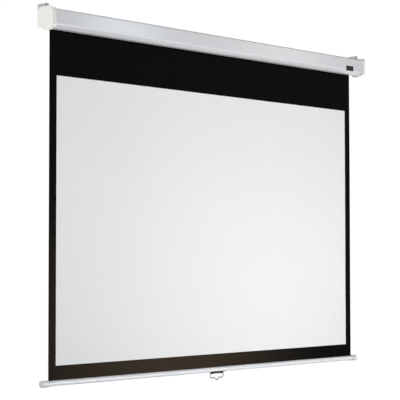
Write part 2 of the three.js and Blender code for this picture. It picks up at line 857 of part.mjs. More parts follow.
function addCloth() {
  const half = clothWidth / 2;
  const low = point(-half, clothFront, slitBottom + gap);
  const high = point(half, clothFront + clothThickness, -gap);
  add('screen_cloth', block(low, high), clothBlack);
  const coatBack = clothFront - gap;
  const coatLow = point(-viewWidth / 2, coatBack - coatThickness, pictureBottom);
  const coatHigh = point(viewWidth / 2, coatBack, pictureTop);
  add('viewing_surface', block(coatLow, coatHigh), clothWhite);
}

// Weight bar: a round tube, slotted on top, with the hem rod and a ballast rod inside it.
function addBarTube() {
  const edge = Math.asin(barSlot / 2 / barBore);
  const arc = (radius) => Array.from({ length: tubeSteps + 1 }, (_, step) => {
    const angle = Math.PI / 2 + edge + (fullTurn - 2 * edge) * step / tubeSteps;
    return new THREE.Vector2(
      clothMiddle + radius * Math.cos(angle),
      barZ + radius * Math.sin(angle),
    );
  });
  const section = [...arc(barRadius), ...arc(barBore).reverse()];
  const tube = alongX(section, -barTubeEnd, 2 * barTubeEnd);
  const holeRadius = saddleScrewShank / 2 + gap;
  const holeAt = (step) => {
    const x = step * saddleScrewPitch / 2;
    return roundBar(Z, holeRadius, barZ - saddleOuter, barZ - barBore + overrun, point(x, clothMiddle, 0));
  };
  add('bar_tube', cut(tube, ...[-1, 1].map(holeAt)), barPaint);
}

function addBarRods() {
  const end = barTubeEnd - rodEndSpace;
  const rod = circle(hemRodDiameter / 2, smallSteps, [clothMiddle, hemRodZ]);
  const low = point(-end - overrun, clothFront - gap, slitBottom);
  const high = point(end + overrun, clothFront + clothThickness + gap, hemRodZ + hemRodDiameter);
  const gripped = cut(alongX(rod, -end, 2 * end), block(low, high));
  add('hem_rod', gripped, plugNylon);
  const room = hemRodZ - hemRodDiameter / 2 - (barZ - barBore) - 2 * gap;
  const ballastRadius = ballastShare * room / 2;
  const ballastZ = barZ - barBore + gap + ballastRadius;
  const ballast = circle(ballastRadius, smallSteps, [clothMiddle, ballastZ]);
  add('ballast_rod', alongX(ballast, -end, 2 * end), springSteel);
}

function barCap() {
  const outer = barCapDiameter / 2;
  const bore = barRadius + gap;
  const shoulder = barEnd - barCapRounding;
  const rounding = Array.from({ length: cornerSteps + 1 }, (_, step) => {
    const angle = Math.PI / 2 * step / cornerSteps;
    return [
      outer - barCapRounding * (1 - Math.cos(angle)),
      shoulder + barCapRounding * Math.sin(angle),
    ];
  });
  const dish = outer - barCapRounding - barCapRim;
  const profile = [
    [0, barEnd - barCapEndWall],
    [bore, barEnd - barCapEndWall],
    [bore, barCapInner],
    [outer - barCapDish / 2, barCapInner],
    [outer, barCapInner + barCapDish],
    ...rounding,
    [dish + barCapDish, barEnd],
    [dish, barEnd - barCapDish],
    [0, barEnd - barCapDish],
  ];
  return turned(profile, clothMiddle, barZ, tubeSteps);
}

function addBarCaps() {
  for (const [label, side] of sides) add(`bar_cap_${label}`, barCap(), barCapPlastic, side);
}

// Pull handle: a bent wire whose two ends turn in the knuckles of a saddle under the bar.
function addSaddle() {
  const wrap = radians(saddleHalfWrap);
  const arc = (radius) => Array.from({ length: smallSteps + 1 }, (_, step) => {
    const angle = -Math.PI / 2 - wrap + 2 * wrap * step / smallSteps;
    return new THREE.Vector2(
      clothMiddle + radius * Math.cos(angle),
      barZ + radius * Math.sin(angle),
    );
  });
  const section = [...arc(saddleOuter), ...arc(saddleInner).reverse()];
  const plate = alongX(section, -saddleLength / 2, saddleLength);
  const at = point(0, clothMiddle, handleZ);
  const knuckleRadius = knuckleBore + knuckleWall;
  const knuckles = [-1, 1].map((step) => {
    const middle = step * knuckleSpacing / 2;
    const half = knuckleWidth / 2;
    return roundBar(X, knuckleRadius, middle - half, middle + half, at, smallSteps);
  });
  const bore = roundBar(X, knuckleBore, -saddleLength, saddleLength, at, smallSteps);
  const holeRadius = saddleScrewShank / 2 + gap;
  const holes = [-1, 1].map((step) => {
    const place = point(step * saddleScrewPitch / 2, clothMiddle, 0);
    return roundBar(Z, holeRadius, barZ - saddleOuter - overrun, barZ - barBore, place);
  });
  const inside = roundBar(
    X,
    saddleInner,
    -saddleLength,
    saddleLength,
    point(0, clothMiddle, barZ),
    tubeSteps,
  );
  add('handle_saddle', cut(join(plate, ...knuckles), bore, inside, ...holes), blackSteel);
}

function addSaddleScrews() {
  const seat = saddleOuter + gap;
  const length = seat - barBore - gap;
  for (const [label, side] of sides) {
    const geometry = panHeadScrew(saddleScrewShank, length, saddleScrewHead, saddleScrewHeadHeight);
    geometry.rotateX(-Math.PI / 2);
    geometry.translate(saddleScrewPitch / 2, clothMiddle, barZ - seat);
    add(`saddle_screw_${label}`, geometry, brightScrew, side);
  }
}

function addPullHandle() {
  const stub = knuckleSpacing / 2 - knuckleWidth / 2 - stubOverlap;
  const half = [
    [stub, 0],
    [handleWidth / 2, 0, handleTopRadius],
    [handleBottomWidth / 2, -handleDrop, handleBottomRadius],
    [handleWaistWidth / 2, -handleWaistDrop, handleWaistRadius],
  ];
  const mirrored = half.map(([x, z, radius]) => [-x, z, radius]).reverse();
  const corners = [...half, [0, -handleTipDrop, handleTipRadius], ...mirrored];
  const points = roundedPoints(corners, false);
  const route = points.map(({ x, y }) => point(x, clothMiddle, handleZ + y));
  const path = new THREE.CatmullRomCurve3(route, false, 'centripetal');
  const wire = new THREE.Shape(circle(wireDiameter / 2, wireSides));
  const settings = { steps: wireSteps, extrudePath: path, bevelEnabled: false };
  add('pull_handle', new THREE.ExtrudeGeometry(wire, settings), handleWire);
}

addCasing();
addEndCaps();
addHangers();
addRollerBrackets();
addIdleBush();
addRollerTube();
addWoundTurns();
addRollerEnds();
addIdlePin();
addSpringShaft();
addSpring();
addRatchetWheel();
addPawls();
addCloth();
addBarTube();
addBarRods();
addBarCaps();
addSaddle();
addSaddleScrews();
addPullHandle();

export default screen;
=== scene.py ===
"""Looks of a manual pull down projector screen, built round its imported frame.

Metres. +Z is up, +X runs along the casing, and the screen faces -Y. The origin is the middle of the
casing's back, which lies against the wall.
"""

import json
import logging
import math
from dataclasses import dataclass, field
from enum import Enum
from typing import Iterable, Sequence

import bmesh
import bpy
from mathutils import Matrix, Vector


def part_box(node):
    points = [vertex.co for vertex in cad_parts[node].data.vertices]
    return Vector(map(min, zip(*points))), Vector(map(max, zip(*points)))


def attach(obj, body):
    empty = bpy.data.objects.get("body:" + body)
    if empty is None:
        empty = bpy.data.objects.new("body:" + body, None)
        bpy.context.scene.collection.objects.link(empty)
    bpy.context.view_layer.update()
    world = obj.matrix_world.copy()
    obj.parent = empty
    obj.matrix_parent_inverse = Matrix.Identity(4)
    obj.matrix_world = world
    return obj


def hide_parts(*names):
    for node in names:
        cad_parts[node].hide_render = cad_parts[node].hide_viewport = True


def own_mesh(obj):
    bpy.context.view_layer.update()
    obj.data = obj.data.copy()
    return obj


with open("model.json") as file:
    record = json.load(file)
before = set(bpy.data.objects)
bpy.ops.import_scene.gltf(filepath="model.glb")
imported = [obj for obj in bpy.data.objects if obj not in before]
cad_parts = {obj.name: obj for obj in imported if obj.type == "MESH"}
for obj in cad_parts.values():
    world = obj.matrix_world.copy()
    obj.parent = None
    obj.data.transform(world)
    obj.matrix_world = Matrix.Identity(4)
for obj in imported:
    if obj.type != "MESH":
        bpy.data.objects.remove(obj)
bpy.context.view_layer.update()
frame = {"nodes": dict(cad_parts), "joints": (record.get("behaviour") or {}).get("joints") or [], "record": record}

logging.basicConfig(level=logging.INFO, format="%(message)s")
log = logging.getLogger("screen")

Piece = bpy.types.Object
Socket = bpy.types.NodeSocket
Tree = bpy.types.NodeTree
Point2 = tuple[float, float]
Triple = tuple[float, float, float]

MM = 0.001
SIDES = (("left", -1), ("right", 1))
ENDS = ("front", "rear")
WHITE = (1, 1, 1, 1)
# Points closer than this are one: in meshes made here, and in frame nodes.
WELD, FRAME_WELD = 1e-7, 1e-6
# In frame nodes, faces that meet flatter than this are one, and sharper edges than this are broken.
FLAT_ANGLE, BEVEL_ANGLE = math.radians(1), math.radians(40)


def linear(code: str) -> tuple[float, float, float, float]:
    """Turns an sRGB hex colour into linear red, green, blue and alpha.

    Args:
        code: Six hex digits.

    Returns:
        The four values.
    """
    parts = [int(code[i : i + 2], 16) / 255 for i in (0, 2, 4)]
    return (*(p / 12.92 if p <= 0.04045 else ((p + 0.055) / 1.055) ** 2.4 for p in parts), 1.0)


def add_node(
    tree: Tree, kind: str, inputs: dict | None = None, out: int | str = 0, **settings: object
) -> Socket | None:
    """Adds a node to a tree, with its settings, values and links.

    Args:
        tree: The tree that takes the node.
        kind: The node's type name.
        inputs: A value, an output socket or a list of them for each input, by name or number.
        out: The output that is wanted, by name or number.
        settings: Attributes of the node.

    Returns:
        That output, or None where the node has none.
    """
    node = tree.nodes.new(kind)
    for name, value in settings.items():
        setattr(node, name, value)
    for key, value in (inputs or {}).items():
        sources = value if isinstance(value, list) else [value]
        if isinstance(sources[0], Socket):
            for source in sources:
                tree.links.new(source, node.inputs[key])
        else:
            node.inputs[key].default_value = value
    return node.outputs[out] if node.outputs else None


def middle_of(node: str) -> Vector:
    """The middle of a frame node's box."""
    low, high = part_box(node)
    return (low + high) / 2


def span_of(node: str) -> Point2:
    """Where a frame node starts and ends along X."""
    low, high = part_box(node)
    return low.x, high.x


def joint(name: str) -> dict:
    """The frame's joint of that name."""
    return next(found for found in frame["joints"] if found["name"] == name)


def object_from(name: str, mesh: bpy.types.Mesh) -> Piece:
    """Makes an object and links it to the scene.

    Args:
        name: The object's name.
        mesh: Its mesh.

    Returns:
        The object.
    """
    piece = bpy.data.objects.new(name, mesh)
    bpy.context.scene.collection.objects.link(piece)
    return piece


def object_from_bmesh(name: str, made: bmesh.types.BMesh) -> Piece:
    """Turns an edited mesh into an object, with its faces pointing out.

    Args:
        name: The object's name.
        made: The edited mesh, which is freed.

    Returns:
        The object.
    """
    bmesh.ops.remove_doubles(made, verts=made.verts, dist=WELD)
    bmesh.ops.recalc_face_normals(made, faces=made.faces)
    mesh = bpy.data.meshes.new(name)
    made.to_mesh(mesh)
    made.free()
    return object_from(name, mesh)


def settle(piece: Piece) -> Piece:
    """Replaces a piece's mesh by its evaluated one and drops its modifiers.

    Args:
        piece: An object with modifiers.

    Returns:
        The same object, as a plain mesh.
    """
    bpy.context.view_layer.update()
    graph = bpy.context.evaluated_depsgraph_get()
    plain = bpy.data.meshes.new_from_object(piece.evaluated_get(graph), depsgraph=graph)
    piece.modifiers.clear()
    piece.data = plain
    return piece


def shade(piece: Piece, angle: float = 32) -> Piece:
    """Shades a piece smooth, with its sharp edges left sharp.

    Args:
        piece: The object to shade.
        angle: The sharpest edge that still looks round, in degrees.

    Returns:
        The same object.
    """
    piece.data.shade_smooth()
    piece.data.set_sharp_from_angle(angle=math.radians(angle))
    piece.modifiers.new("weighted", "WEIGHTED_NORMAL").keep_sharp = True
    return settle(piece)


def break_edges(piece: Piece, width: float, segments: int, angle: float = BEVEL_ANGLE) -> Piece:
    """Breaks a piece's sharp edges.

    Args:
        piece: The object.
        width: Width of the broken edges.
        segments: Faces across each.
        angle: The flattest edge that is broken, in radians.

    Returns:
        The same object.
    """
    edge = piece.modifiers.new("edge", "BEVEL")
    edge.width, edge.segments = width, segments
    edge.limit_method, edge.angle_limit = "ANGLE", angle
    return settle(piece)


def rounded(
    corners: Sequence[Sequence[float]], closed: bool = True, steps: int = 12
) -> list[Point2]:
    """Rounds the corners of an outline.

    Args:
        corners: Points of (across, up), with a third value where a corner has a radius.
        closed: Whether the outline returns to its start.
        steps: Segments in each rounded corner.

    Returns:
        The outline's points.
    """
    points: list[Point2] = []
    count = len(corners)
    for i, corner in enumerate(corners):
        radius = corner[2] if len(corner) > 2 else 0
        here = Vector(corner[:2])
        if radius == 0 or (not closed and i in (0, count - 1)):
            points.append((here.x, here.y))
            continue
        back = (Vector(corners[i - 1][:2]) - here).normalized()
        onward = (Vector(corners[(i + 1) % count][:2]) - here).normalized()
        half = math.acos(max(-1, min(1, back.dot(onward)))) / 2
        centre = here + (back + onward).normalized() * (radius / math.sin(half))
        first = here + back * (radius / math.tan(half)) - centre
        side = math.copysign(1, back.x * onward.y - back.y * onward.x)
        turn = -side * (math.pi - 2 * half)
        for step in range(steps + 1):
            spoke = first.copy()
            spoke.rotate(Matrix.Rotation(turn * step / steps, 2))
            points.append((centre.x + spoke.x, centre.y + spoke.y))
    return points


def shifted(points: Sequence[Point2], distance: float, closed: bool = True) -> list[Point2]:
    """Moves an outline to the left of the way it runs.

    Args:
        points: The outline.
        distance: How far it moves. A minus value moves it to the right.
        closed: Whether the outline returns to its start.

    Returns:
        The moved outline, with mitred corners.
    """

    def left_of(start: Point2, end: Point2) -> Vector:
        """The unit vector to the left of a run."""
        run = (Vector(end) - Vector(start)).normalized()
        return Vector((-run.y, run.x))

    count = len(points)
    moved: list[Point2] = []
    for i, point in enumerate(points):
        has_before = closed or i > 0
        has_after = closed or i < count - 1
        first = left_of(points[i - 1], point) if has_before else left_of(point, points[i + 1])
        second = left_of(point, points[(i + 1) % count]) if has_after else first
        middle = (first + second).normalized()
        place = Vector(point) + middle * (distance / middle.dot(first))
        moved.append((place.x, place.y))
    return moved


def arc(
    radius: float, start: float, sweep: float, steps: int, centre: Point2 = (0, 0)
) -> list[Point2]:
    """Points along an arc, angles in radians, both ends included."""
    angles = [start + sweep * step / steps for step in range(steps + 1)]
    return [(centre[0] + radius * math.cos(a), centre[1] + radius * math.sin(a)) for a in angles]


def loft(name: str, rings: Sequence[Sequence[Vector]]) -> Piece:
    """A solid through closed rings of points, filled at both ends.

    Args:
        name: The object's name.
        rings: The rings, each with as many points.

    Returns:
        The solid.
    """
    made = bmesh.new()
    rows = [[made.verts.new(point) for point in ring] for ring in rings]
    for low, high in zip(rows, rows[1:]):
        for i in range(len(low)):
            after = (i + 1) % len(low)
            made.faces.new((low[i], low[after], high[after], high[i]))
    made.faces.new(rows[0])
    made.faces.new(list(reversed(rows[-1])))
    return object_from_bmesh(name, made)


def along_x(name: str, outline: Sequence[Point2], ends: Point2) -> Piece:
    """A solid of an outline in (Y, Z), drawn along X between two ends in either order."""
    return loft(name, [[Vector((x, y, z)) for y, z in outline] for x in sorted(ends)])


def turned(
    name: str, profile: Sequence[Point2], centre: Point2, steps: int, side: int = 1
) -> Piece:
    """A solid turned about a line along X.

    Args:
        name: The object's name.
        profile: Points of (radius, x), which start and end on the axis.
        centre: The line's Y and Z.
        steps: Segments round it.
        side: 1, or -1 for the mirrored solid.

    Returns:
        The solid.
    """
    made = bmesh.new()
    circle = arc(1, 0, 2 * math.pi, steps)[:-1]
    rows = []
    for radius, x in profile:
        spokes = circle if radius > 0 else circle[:1]
        rows.append(
            [
                made.verts.new((side * x, centre[0] + radius * across, centre[1] + radius * up))
                for across, up in spokes
            ]
        )
    for low, high in zip(rows, rows[1:]):
        for i in range(steps):
            after = (i + 1) % steps
            places = ((low, i), (low, after), (high, after), (high, i))
            corners = list(dict.fromkeys(row[j % len(row)] for row, j in places))
            if len(corners) > 2:
                made.faces.new(corners)
    return object_from_bmesh(name, made)


def pin(axis: str, radius: float, ends: Point2, at: Vector, steps: int = 32) -> Piece:
    """A plain round bar, along X or Z.

    Args:
        axis: The letter of the axis.
        radius: Its radius.
        ends: Where it starts and ends on that axis, in either order.
        at: The line's place on the other two axes.
        steps: Segments round it.

    Returns:
        The bar.
    """
    low, high = sorted(ends)
    middle = at.copy()
    middle["XYZ".index(axis)] = (low + high) / 2
    turn = Matrix.Rotation(math.pi / 2, 4, "Y") if axis == "X" else Matrix.Identity(4)
    made = bmesh.new()
    bmesh.ops.create_cone(
        made, cap_ends=True, segments=steps, radius1=radius, radius2=radius,
        depth=high - low, matrix=Matrix.Translation(middle) @ turn,
    )
    return object_from_bmesh("tool", made)


def slab(low: Sequence[float], high: Sequence[float]) -> Piece:
    """A plain block.

    Args:
        low: Its lowest corner.
        high: Its highest corner.

    Returns:
        The block.
    """
    made = bmesh.new()
    bmesh.ops.create_cube(made, size=1)
    bmesh.ops.scale(made, vec=Vector(high) - Vector(low), verts=made.verts)
    bmesh.ops.translate(made, vec=(Vector(high) + Vector(low)) / 2, verts=made.verts)
    return object_from_bmesh("tool", made)


class Boolean(Enum):
    """How a tool changes a solid."""

    CUT = "DIFFERENCE"
    JOIN = "UNION"


def combine(piece: Piece, how: Boolean, tools: Iterable[Piece]) -> Piece:
    """Cuts tools out of a solid or joins them to it.

    Args:
        piece: The solid.
        how: Cut or join.
        tools: The other solids, which are removed.

    Returns:
        The changed solid.
    """
    for tool in tools:
        step = piece.modifiers.new("step", "BOOLEAN")
        step.operation, step.object, step.solver = how.value, tool, "EXACT"
        settle(piece)
        bpy.data.objects.remove(tool)
    return piece


def refined_copy(node: str, name: str, edge: float) -> Piece:
    """A copy of a frame node with its triangles merged and its edges broken.

    Args:
        node: The node's name.
        name: The copy's name.
        edge: Width of the broken edges.

    Returns:
        The copy.
    """
    made = bmesh.new()
    made.from_mesh(frame["nodes"][node].data)
    bmesh.ops.remove_doubles(made, verts=made.verts, dist=FRAME_WELD)
    bmesh.ops.dissolve_limit(made, angle_limit=FLAT_ANGLE, verts=made.verts, edges=made.edges)
    return shade(break_edges(object_from_bmesh(name, made), edge, segments=2), angle=35)


def cleared(owner: bpy.types.Material | bpy.types.World) -> Tree:
    """Gives a material or world an empty node tree.

    Args:
        owner: The material or world.

    Returns:
        The tree.
    """
    owner.use_nodes = True
    owner.node_tree.nodes.clear()
    return owner.node_tree


def faded(tree: Tree, given: Socket, along: Socket, ends: Point2, shares: Point2) -> Socket:
    """Adds the nodes that fade a strength softly along a measure.

    Args:
        tree: The tree that takes them.
        given: The strength.
        along: The measure.
        ends: Where the fade starts and ends.
        shares: What is left of the strength there.

    Returns:
        The faded strength.
    """
    fade = {"Value": along, "From Min": ends[0], "From Max": ends[1],
            "To Min": shares[0], "To Max": shares[1]}
    share = add_node(tree, "ShaderNodeMapRange", fade, interpolation_type="SMOOTHSTEP")
    return add_node(tree, "ShaderNodeMath", {0: share, 1: given}, operation="MULTIPLY")


class Grain(Enum):
    """The fine relief that a finish shows."""

    ORANGE_PEEL = 1
    SPARK_ERODED = 2
    ROLLED = 3
    DRAWN_ALONG_X = 4
    WOVEN = 5


# Octaves of the relief's noise: a soft one, a crisp one, and what lies between for the others.
GRAIN_DETAIL = {Grain.ORANGE_PEEL: 1.0, Grain.SPARK_ERODED: 4.0}
OTHER_DETAIL = 3.0
GRAIN_ROUGHNESS = 0.55
DRAWN_STRETCH = (0.02, 1, 1)  # drawing leaves lines fifty times as long as they are wide
WAVE_RATE = 20  # radians that a wave texture turns through in each unit of its scale
THREAD_WANDER, THREAD_DETAIL = 0.4, 1.0
PATCH_DETAIL, PATCH_ROUGHNESS = 4.0, 0.6
PATCH_LOW, PATCH_HIGH = 0.3, 0.7  # most of a noise's values lie between these
FACING = 0.1  # half the width of the change from front to rear, in the normal's Y


@dataclass(frozen=True)
class PaintedSheen:
    """A sheen painted into a surface's colour on its front, in place of a low lamp's reflection.

    Args:
        colour: sRGB hex at the middle of the patch.
        middle: Its X and Z in metres.
        reach: Its half sizes along X and Z in metres.
    """

    colour: str
    middle: Point2
    reach: Point2

    def tint(self, tree: Tree, place: Socket, colour: Socket) -> Socket:
        """Adds the nodes that paint the sheen over a colour.

        Args:
            tree: The material's tree.
            place: Object coordinates.
            colour: The surface's colour without the painted sheen.

        Returns:
            The colour with its painted sheen.
        """
        scale = (1 / self.reach[0], 0, 1 / self.reach[1])
        back = (-self.middle[0] * scale[0], 0, -self.middle[1] * scale[2])
        offset = add_node(
            tree, "ShaderNodeMapping", {"Vector": place, "Scale": scale, "Location": back}
        )
        distance = add_node(tree, "ShaderNodeVectorMath", {0: offset}, "Value", operation="LENGTH")
        normal = add_node(tree, "ShaderNodeTexCoord", out="Normal")
        depth = add_node(tree, "ShaderNodeSeparateXYZ", {0: normal}, "Y")
        sides = {"Value": depth, "From Min": FACING, "From Max": -FACING}
        front = add_node(tree, "ShaderNodeMapRange", sides)
        laid = faded(tree, front, distance, (0.0, 1.0), (1.0, 0.0))
        hues = {"Factor": laid, 6: colour, 7: linear(self.colour)}
        return add_node(tree, "ShaderNodeMix", hues, 2, data_type="RGBA")


@dataclass(frozen=True)
class Finish:
    """What a surface is made of and how it was finished.

    Args:
        name: The material's common name and how it was made.
        slot: The record's material slot.
        colour: sRGB hex.
        shade: sRGB hex of its darker patches.
        roughness: Middle roughness.
        spread: How far the roughness varies.
        grain: The relief.
        grain_size: Spacing of the relief in millimetres.
        depth: Height of the relief in millimetres.
        patch: Size in millimetres of the uneven colour.
        metallic: 1 for bare metal.
        level: Specular level of what isn't metal.
        ior: Refractive index of what isn't metal.
        painted_sheen: A sheen painted on its front, in place of a low lamp's reflection.
    """

    name: str
    slot: str
    colour: str
    shade: str
    roughness: float
    spread: float
    grain: Grain
    grain_size: float
    depth: float
    patch: float
    metallic: float = 0.0
    level: float = 0.5
    ior: float = 1.5
    painted_sheen: PaintedSheen | None = None

    def relief(self, tree: Tree, place: Socket) -> Socket:
        """Adds the nodes of the fine relief.

        Args:
            tree: The material's tree.
            place: Object coordinates.

        Returns:
            The relief's height from 0 to 1.
        """
        per_metre = 1 / (self.grain_size * MM)
        if self.grain is Grain.WOVEN:
            # One radian for each grain size: finer threads would not show.
            wave = {"Vector": place, "Scale": per_metre / WAVE_RATE,
                    "Distortion": THREAD_WANDER, "Detail": THREAD_DETAIL}
            warp, weft = (
                add_node(tree, "ShaderNodeTexWave", wave, "Fac", bands_direction=direction)
                for direction in "XZ"
            )
            return add_node(tree, "ShaderNodeMath", {0: warp, 1: weft}, operation="MULTIPLY")
        stretch = DRAWN_STRETCH if self.grain is Grain.DRAWN_ALONG_X else (1, 1, 1)
        aimed = add_node(tree, "ShaderNodeMapping", {"Vector": place, "Scale": stretch})
        noise = {"Vector": aimed, "Scale": per_metre, "Roughness": GRAIN_ROUGHNESS,
                 "Detail": GRAIN_DETAIL.get(self.grain, OTHER_DETAIL)}
        return add_node(tree, "ShaderNodeTexNoise", noise, "Fac")

    def build(self) -> bpy.types.Material:
        """Makes the material where it doesn't exist yet.

        Returns:
            The material.
        """
        label = self.name.replace(" ", "_")
        if label in bpy.data.materials:
            return bpy.data.materials[label]
        material = bpy.data.materials.new(label)
        tree = cleared(material)
        place = add_node(tree, "ShaderNodeTexCoord", out="Object")
        patches = {"Vector": place, "Scale": 1 / (self.patch * MM),
                   "Detail": PATCH_DETAIL, "Roughness": PATCH_ROUGHNESS}
        uneven = add_node(tree, "ShaderNodeTexNoise", patches, "Fac")
        hues = {"Factor": uneven, 6: linear(self.shade), 7: linear(self.colour)}
        colour = add_node(tree, "ShaderNodeMix", hues, 2, data_type="RGBA")
        # Paint a warm sheen into the colour, in place of a lamp's reflection.
        if self.painted_sheen:
            colour = self.painted_sheen.tint(tree, place, colour)
        roughness = add_node(
            tree, "ShaderNodeMapRange",
            {"Value": uneven, "From Min": PATCH_LOW, "From Max": PATCH_HIGH,
             "To Min": self.roughness - self.spread, "To Max": self.roughness + self.spread},
        )
        raised = {"Height": self.relief(tree, place), "Distance": self.depth * MM, "Strength": 1.0}
        look = {"Base Color": colour, "Roughness": roughness, "Metallic": self.metallic,
                "Normal": add_node(tree, "ShaderNodeBump", raised)}
        if self.metallic < 1:
            look |= {"Specular IOR Level": self.level, "IOR": self.ior}
        surface = add_node(tree, "ShaderNodeBsdfPrincipled", look)
        add_node(tree, "ShaderNodeOutputMaterial", {"Surface": surface})
        return material


# Polyester powder coat on steel: satin gloss with a faint orange peel, which breaks up reflections.
CASING_PAINT = Finish(
    "white polyester powder coat", "casing_paint", "D6D6D7", "D3D3D4", 0.15, 0.02,
    Grain.ORANGE_PEEL, grain_size=3.0, depth=0.012, patch=260,
)
# Moulded ABS, a warmer white than the paint, with a spark eroded grain that dulls its highlights.
CAP_ABS = Finish(
    "moulded white abs", "cap_plastic", "EBE8DE", "E7E4DA", 0.42, 0.04,
    Grain.SPARK_ERODED, grain_size=0.7, depth=0.01, patch=70, ior=1.54,
)
# Zinc plated and passivated mild steel sheet: light grey and dull, slightly streaked from rolling.
ZINC_SHEET = Finish(
    "zinc plated rolled steel", "zinc_steel", "BDBFBF", "AEB0B1", 0.6, 0.06,
    Grain.ROLLED, grain_size=1.2, depth=0.006, patch=22, metallic=1.0,
)
# Bright zinc on turned screws: cleaner and sharper than the sheet.
SCREW_ZINC = Finish(
    "bright zinc plated screw steel", "screw_steel", "CBCDD0", "BDBFC2", 0.26, 0.05,
    Grain.ROLLED, grain_size=0.8, depth=0.004, patch=6, metallic=1.0,
)
# Mill finish aluminium: pale, with fine die lines along the tube.
MILL_ALUMINIUM = Finish(
    "mill finish extruded aluminium", "roller_aluminium", "CBCDCE", "BFC1C3", 0.34, 0.06,
    Grain.DRAWN_ALONG_X, grain_size=0.6, depth=0.006, patch=60, metallic=1.0,
)
# Natural nylon: milky white and slightly waxy.
NYLON = Finish(
    "natural moulded nylon", "nylon", "E4E2DA", "DEDBD1", 0.45, 0.05,
    Grain.SPARK_ERODED, grain_size=0.9, depth=0.006, patch=20, ior=1.53,
)
# Hardened steel with a black oil finish: dark, soft highlights.
OILED_STEEL = Finish(
    "black oiled hardened steel", "dark_steel", "4B4B4B", "3B3A39", 0.42, 0.08,
    Grain.ROLLED, grain_size=0.7, depth=0.005, patch=9, metallic=1.0,
)
# Drawn spring steel: brown grey with lines along the wire.
SPRING_STEEL = Finish(
    "drawn and oiled spring steel", "spring_steel", "72706C", "5F5D59", 0.36, 0.07,
    Grain.DRAWN_ALONG_X, grain_size=0.5, depth=0.004, patch=14, metallic=1.0,
)
# Black PVC coated glass cloth: matt, nearly lightless, its weave just seen from close by. A
# warm sheen is painted on its front low down in the middle, in place of a low lamp's reflection.
BLACK_CLOTH = Finish(
    "matt black coated glass cloth", "cloth_black", "0A0A0A", "070707", 0.62, 0.05,
    Grain.WOVEN, grain_size=1.1, depth=0.03, patch=300, level=0.02,
    # The warm patch below is a painted sheen, standing in for a low lamp's reflection.
    painted_sheen=PaintedSheen("3A3127", (-0.35, -1.45), (1.25, 1.0)),
)
# Matt white PVC picture coat: even and lambertian, with a fine embossed grain.
WHITE_COAT = Finish(
    "matt white embossed vinyl coat", "cloth_white", "EEEEED", "EBEBEA", 0.92, 0.03,
    Grain.SPARK_ERODED, grain_size=1.0, depth=0.012, patch=500, level=0.2,
)
# The casing's powder coat on the drawn bar: a glossier tube, a touch cooler, and painted lighter
# than on the casing, in place of the light that falls on the bar's top.
LIGHTENED_BAR_PAINT = Finish(
    "white powder coat on drawn tube", "bar_paint", "ECECF1", "E8E8ED", 0.26, 0.04,
    Grain.ORANGE_PEEL, grain_size=2.4, depth=0.01, patch=180,
)
# Moulded polypropylene end caps: smooth, translucent looking grey white.
BAR_CAP_PP = Finish(
    "moulded white polypropylene", "bar_cap_plastic", "E3E4E3", "DDDEDE", 0.32, 0.04,
    Grain.SPARK_ERODED, grain_size=0.8, depth=0.006, patch=24, ior=1.49,
)
# Black electrocoated steel sheet: thin, smooth, dark brown black.
BLACK_SHEET = Finish(
    "black electrocoated steel sheet", "black_steel", "1F1C19", "181614", 0.5, 0.06,
    Grain.ORANGE_PEEL, grain_size=1.6, depth=0.008, patch=20, level=0.2,
)
# Nickel plated wire, coloured a dark grey, with soft reflections of what is round it.
HANDLE_WIRE = Finish(
    "nickel plated steel wire", "handle_wire", "5E5D5A", "52514F", 0.26, 0.04,
    Grain.ROLLED, grain_size=0.9, depth=0.003, patch=12, metallic=1.0,
)
# Anodised aluminium foil plate, dyed black: satin, with nothing on it.
BLANK_PLATE = Finish(
    "black anodised aluminium plate", "black_steel", "131313", "0F0F10", 0.4, 0.04,
    Grain.DRAWN_ALONG_X, grain_size=0.5, depth=0.004, patch=16, level=0.2,
)
FINISHES = (
    CASING_PAINT, CAP_ABS, ZINC_SHEET, SCREW_ZINC, MILL_ALUMINIUM, NYLON, OILED_STEEL,
    SPRING_STEEL, BLACK_CLOTH, WHITE_COAT, LIGHTENED_BAR_PAINT, BAR_CAP_PP, BLACK_SHEET, HANDLE_WIRE,
)


def finish_piece(piece: Piece, finish: Finish, body: str, *replaced: str) -> None:
    """Gives a piece its material and its body, and hides the frame nodes that it stands for.

    Args:
        piece: The object.
        finish: Its finish.
        body: The body that it rides on.
        replaced: The frame nodes that it stands for.
    """
    piece.data.materials.clear()
    piece.data.materials.append(finish.build())
    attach(piece, body)
    if replaced:
        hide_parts(*replaced)
    log.info("%s: %d faces, rides on %s", piece.name, len(piece.data.polygons), body)


def dress_frame_nodes() -> None:
    """Gives each frame node the material of its record slot."""
    by_slot = {finish.slot: finish for finish in FINISHES}
    for part in frame["record"]["subparts"]:
        for place in frame["nodes"][part["node"]].material_slots:
            place.material = by_slot[part["material_slot"]].build()
    log.info("frame nodes: %d dressed", len(frame["nodes"]))


def start_tree(name: str, inputs: dict[str, str]) -> tuple[Tree, bpy.types.NodeOutputs]:
    """Starts a geometry tree.

    Args:
        name: Its name.
        inputs: The kind of each input, by name.

    Returns:
        The tree and its inputs' values.
    """
    tree = bpy.data.node_groups.new(name, "GeometryNodeTree")
    for label, kind in {"Geometry": "Geometry", **inputs}.items():
        tree.interface.new_socket(label, in_out="INPUT", socket_type=f"NodeSocket{kind}")
    tree.interface.new_socket("Geometry", in_out="OUTPUT", socket_type="NodeSocketGeometry")
    return tree, add_node(tree, "NodeGroupInput").node.outputs


def end_tree(tree: Tree, shape: Socket, finish: Finish) -> Tree:
    """Ends a geometry tree with real meshes of one finish.

    Args:
        tree: The tree.
        shape: What it has made.
        finish: The finish.

    Returns:
        The same tree.
    """
    real = add_node(tree, "GeometryNodeRealizeInstances", {"Geometry": shape})
    dressed = {"Geometry": real, "Material": finish.build()}
    add_node(tree, "NodeGroupOutput", {0: add_node(tree, "GeometryNodeSetMaterial", dressed)})
    return tree


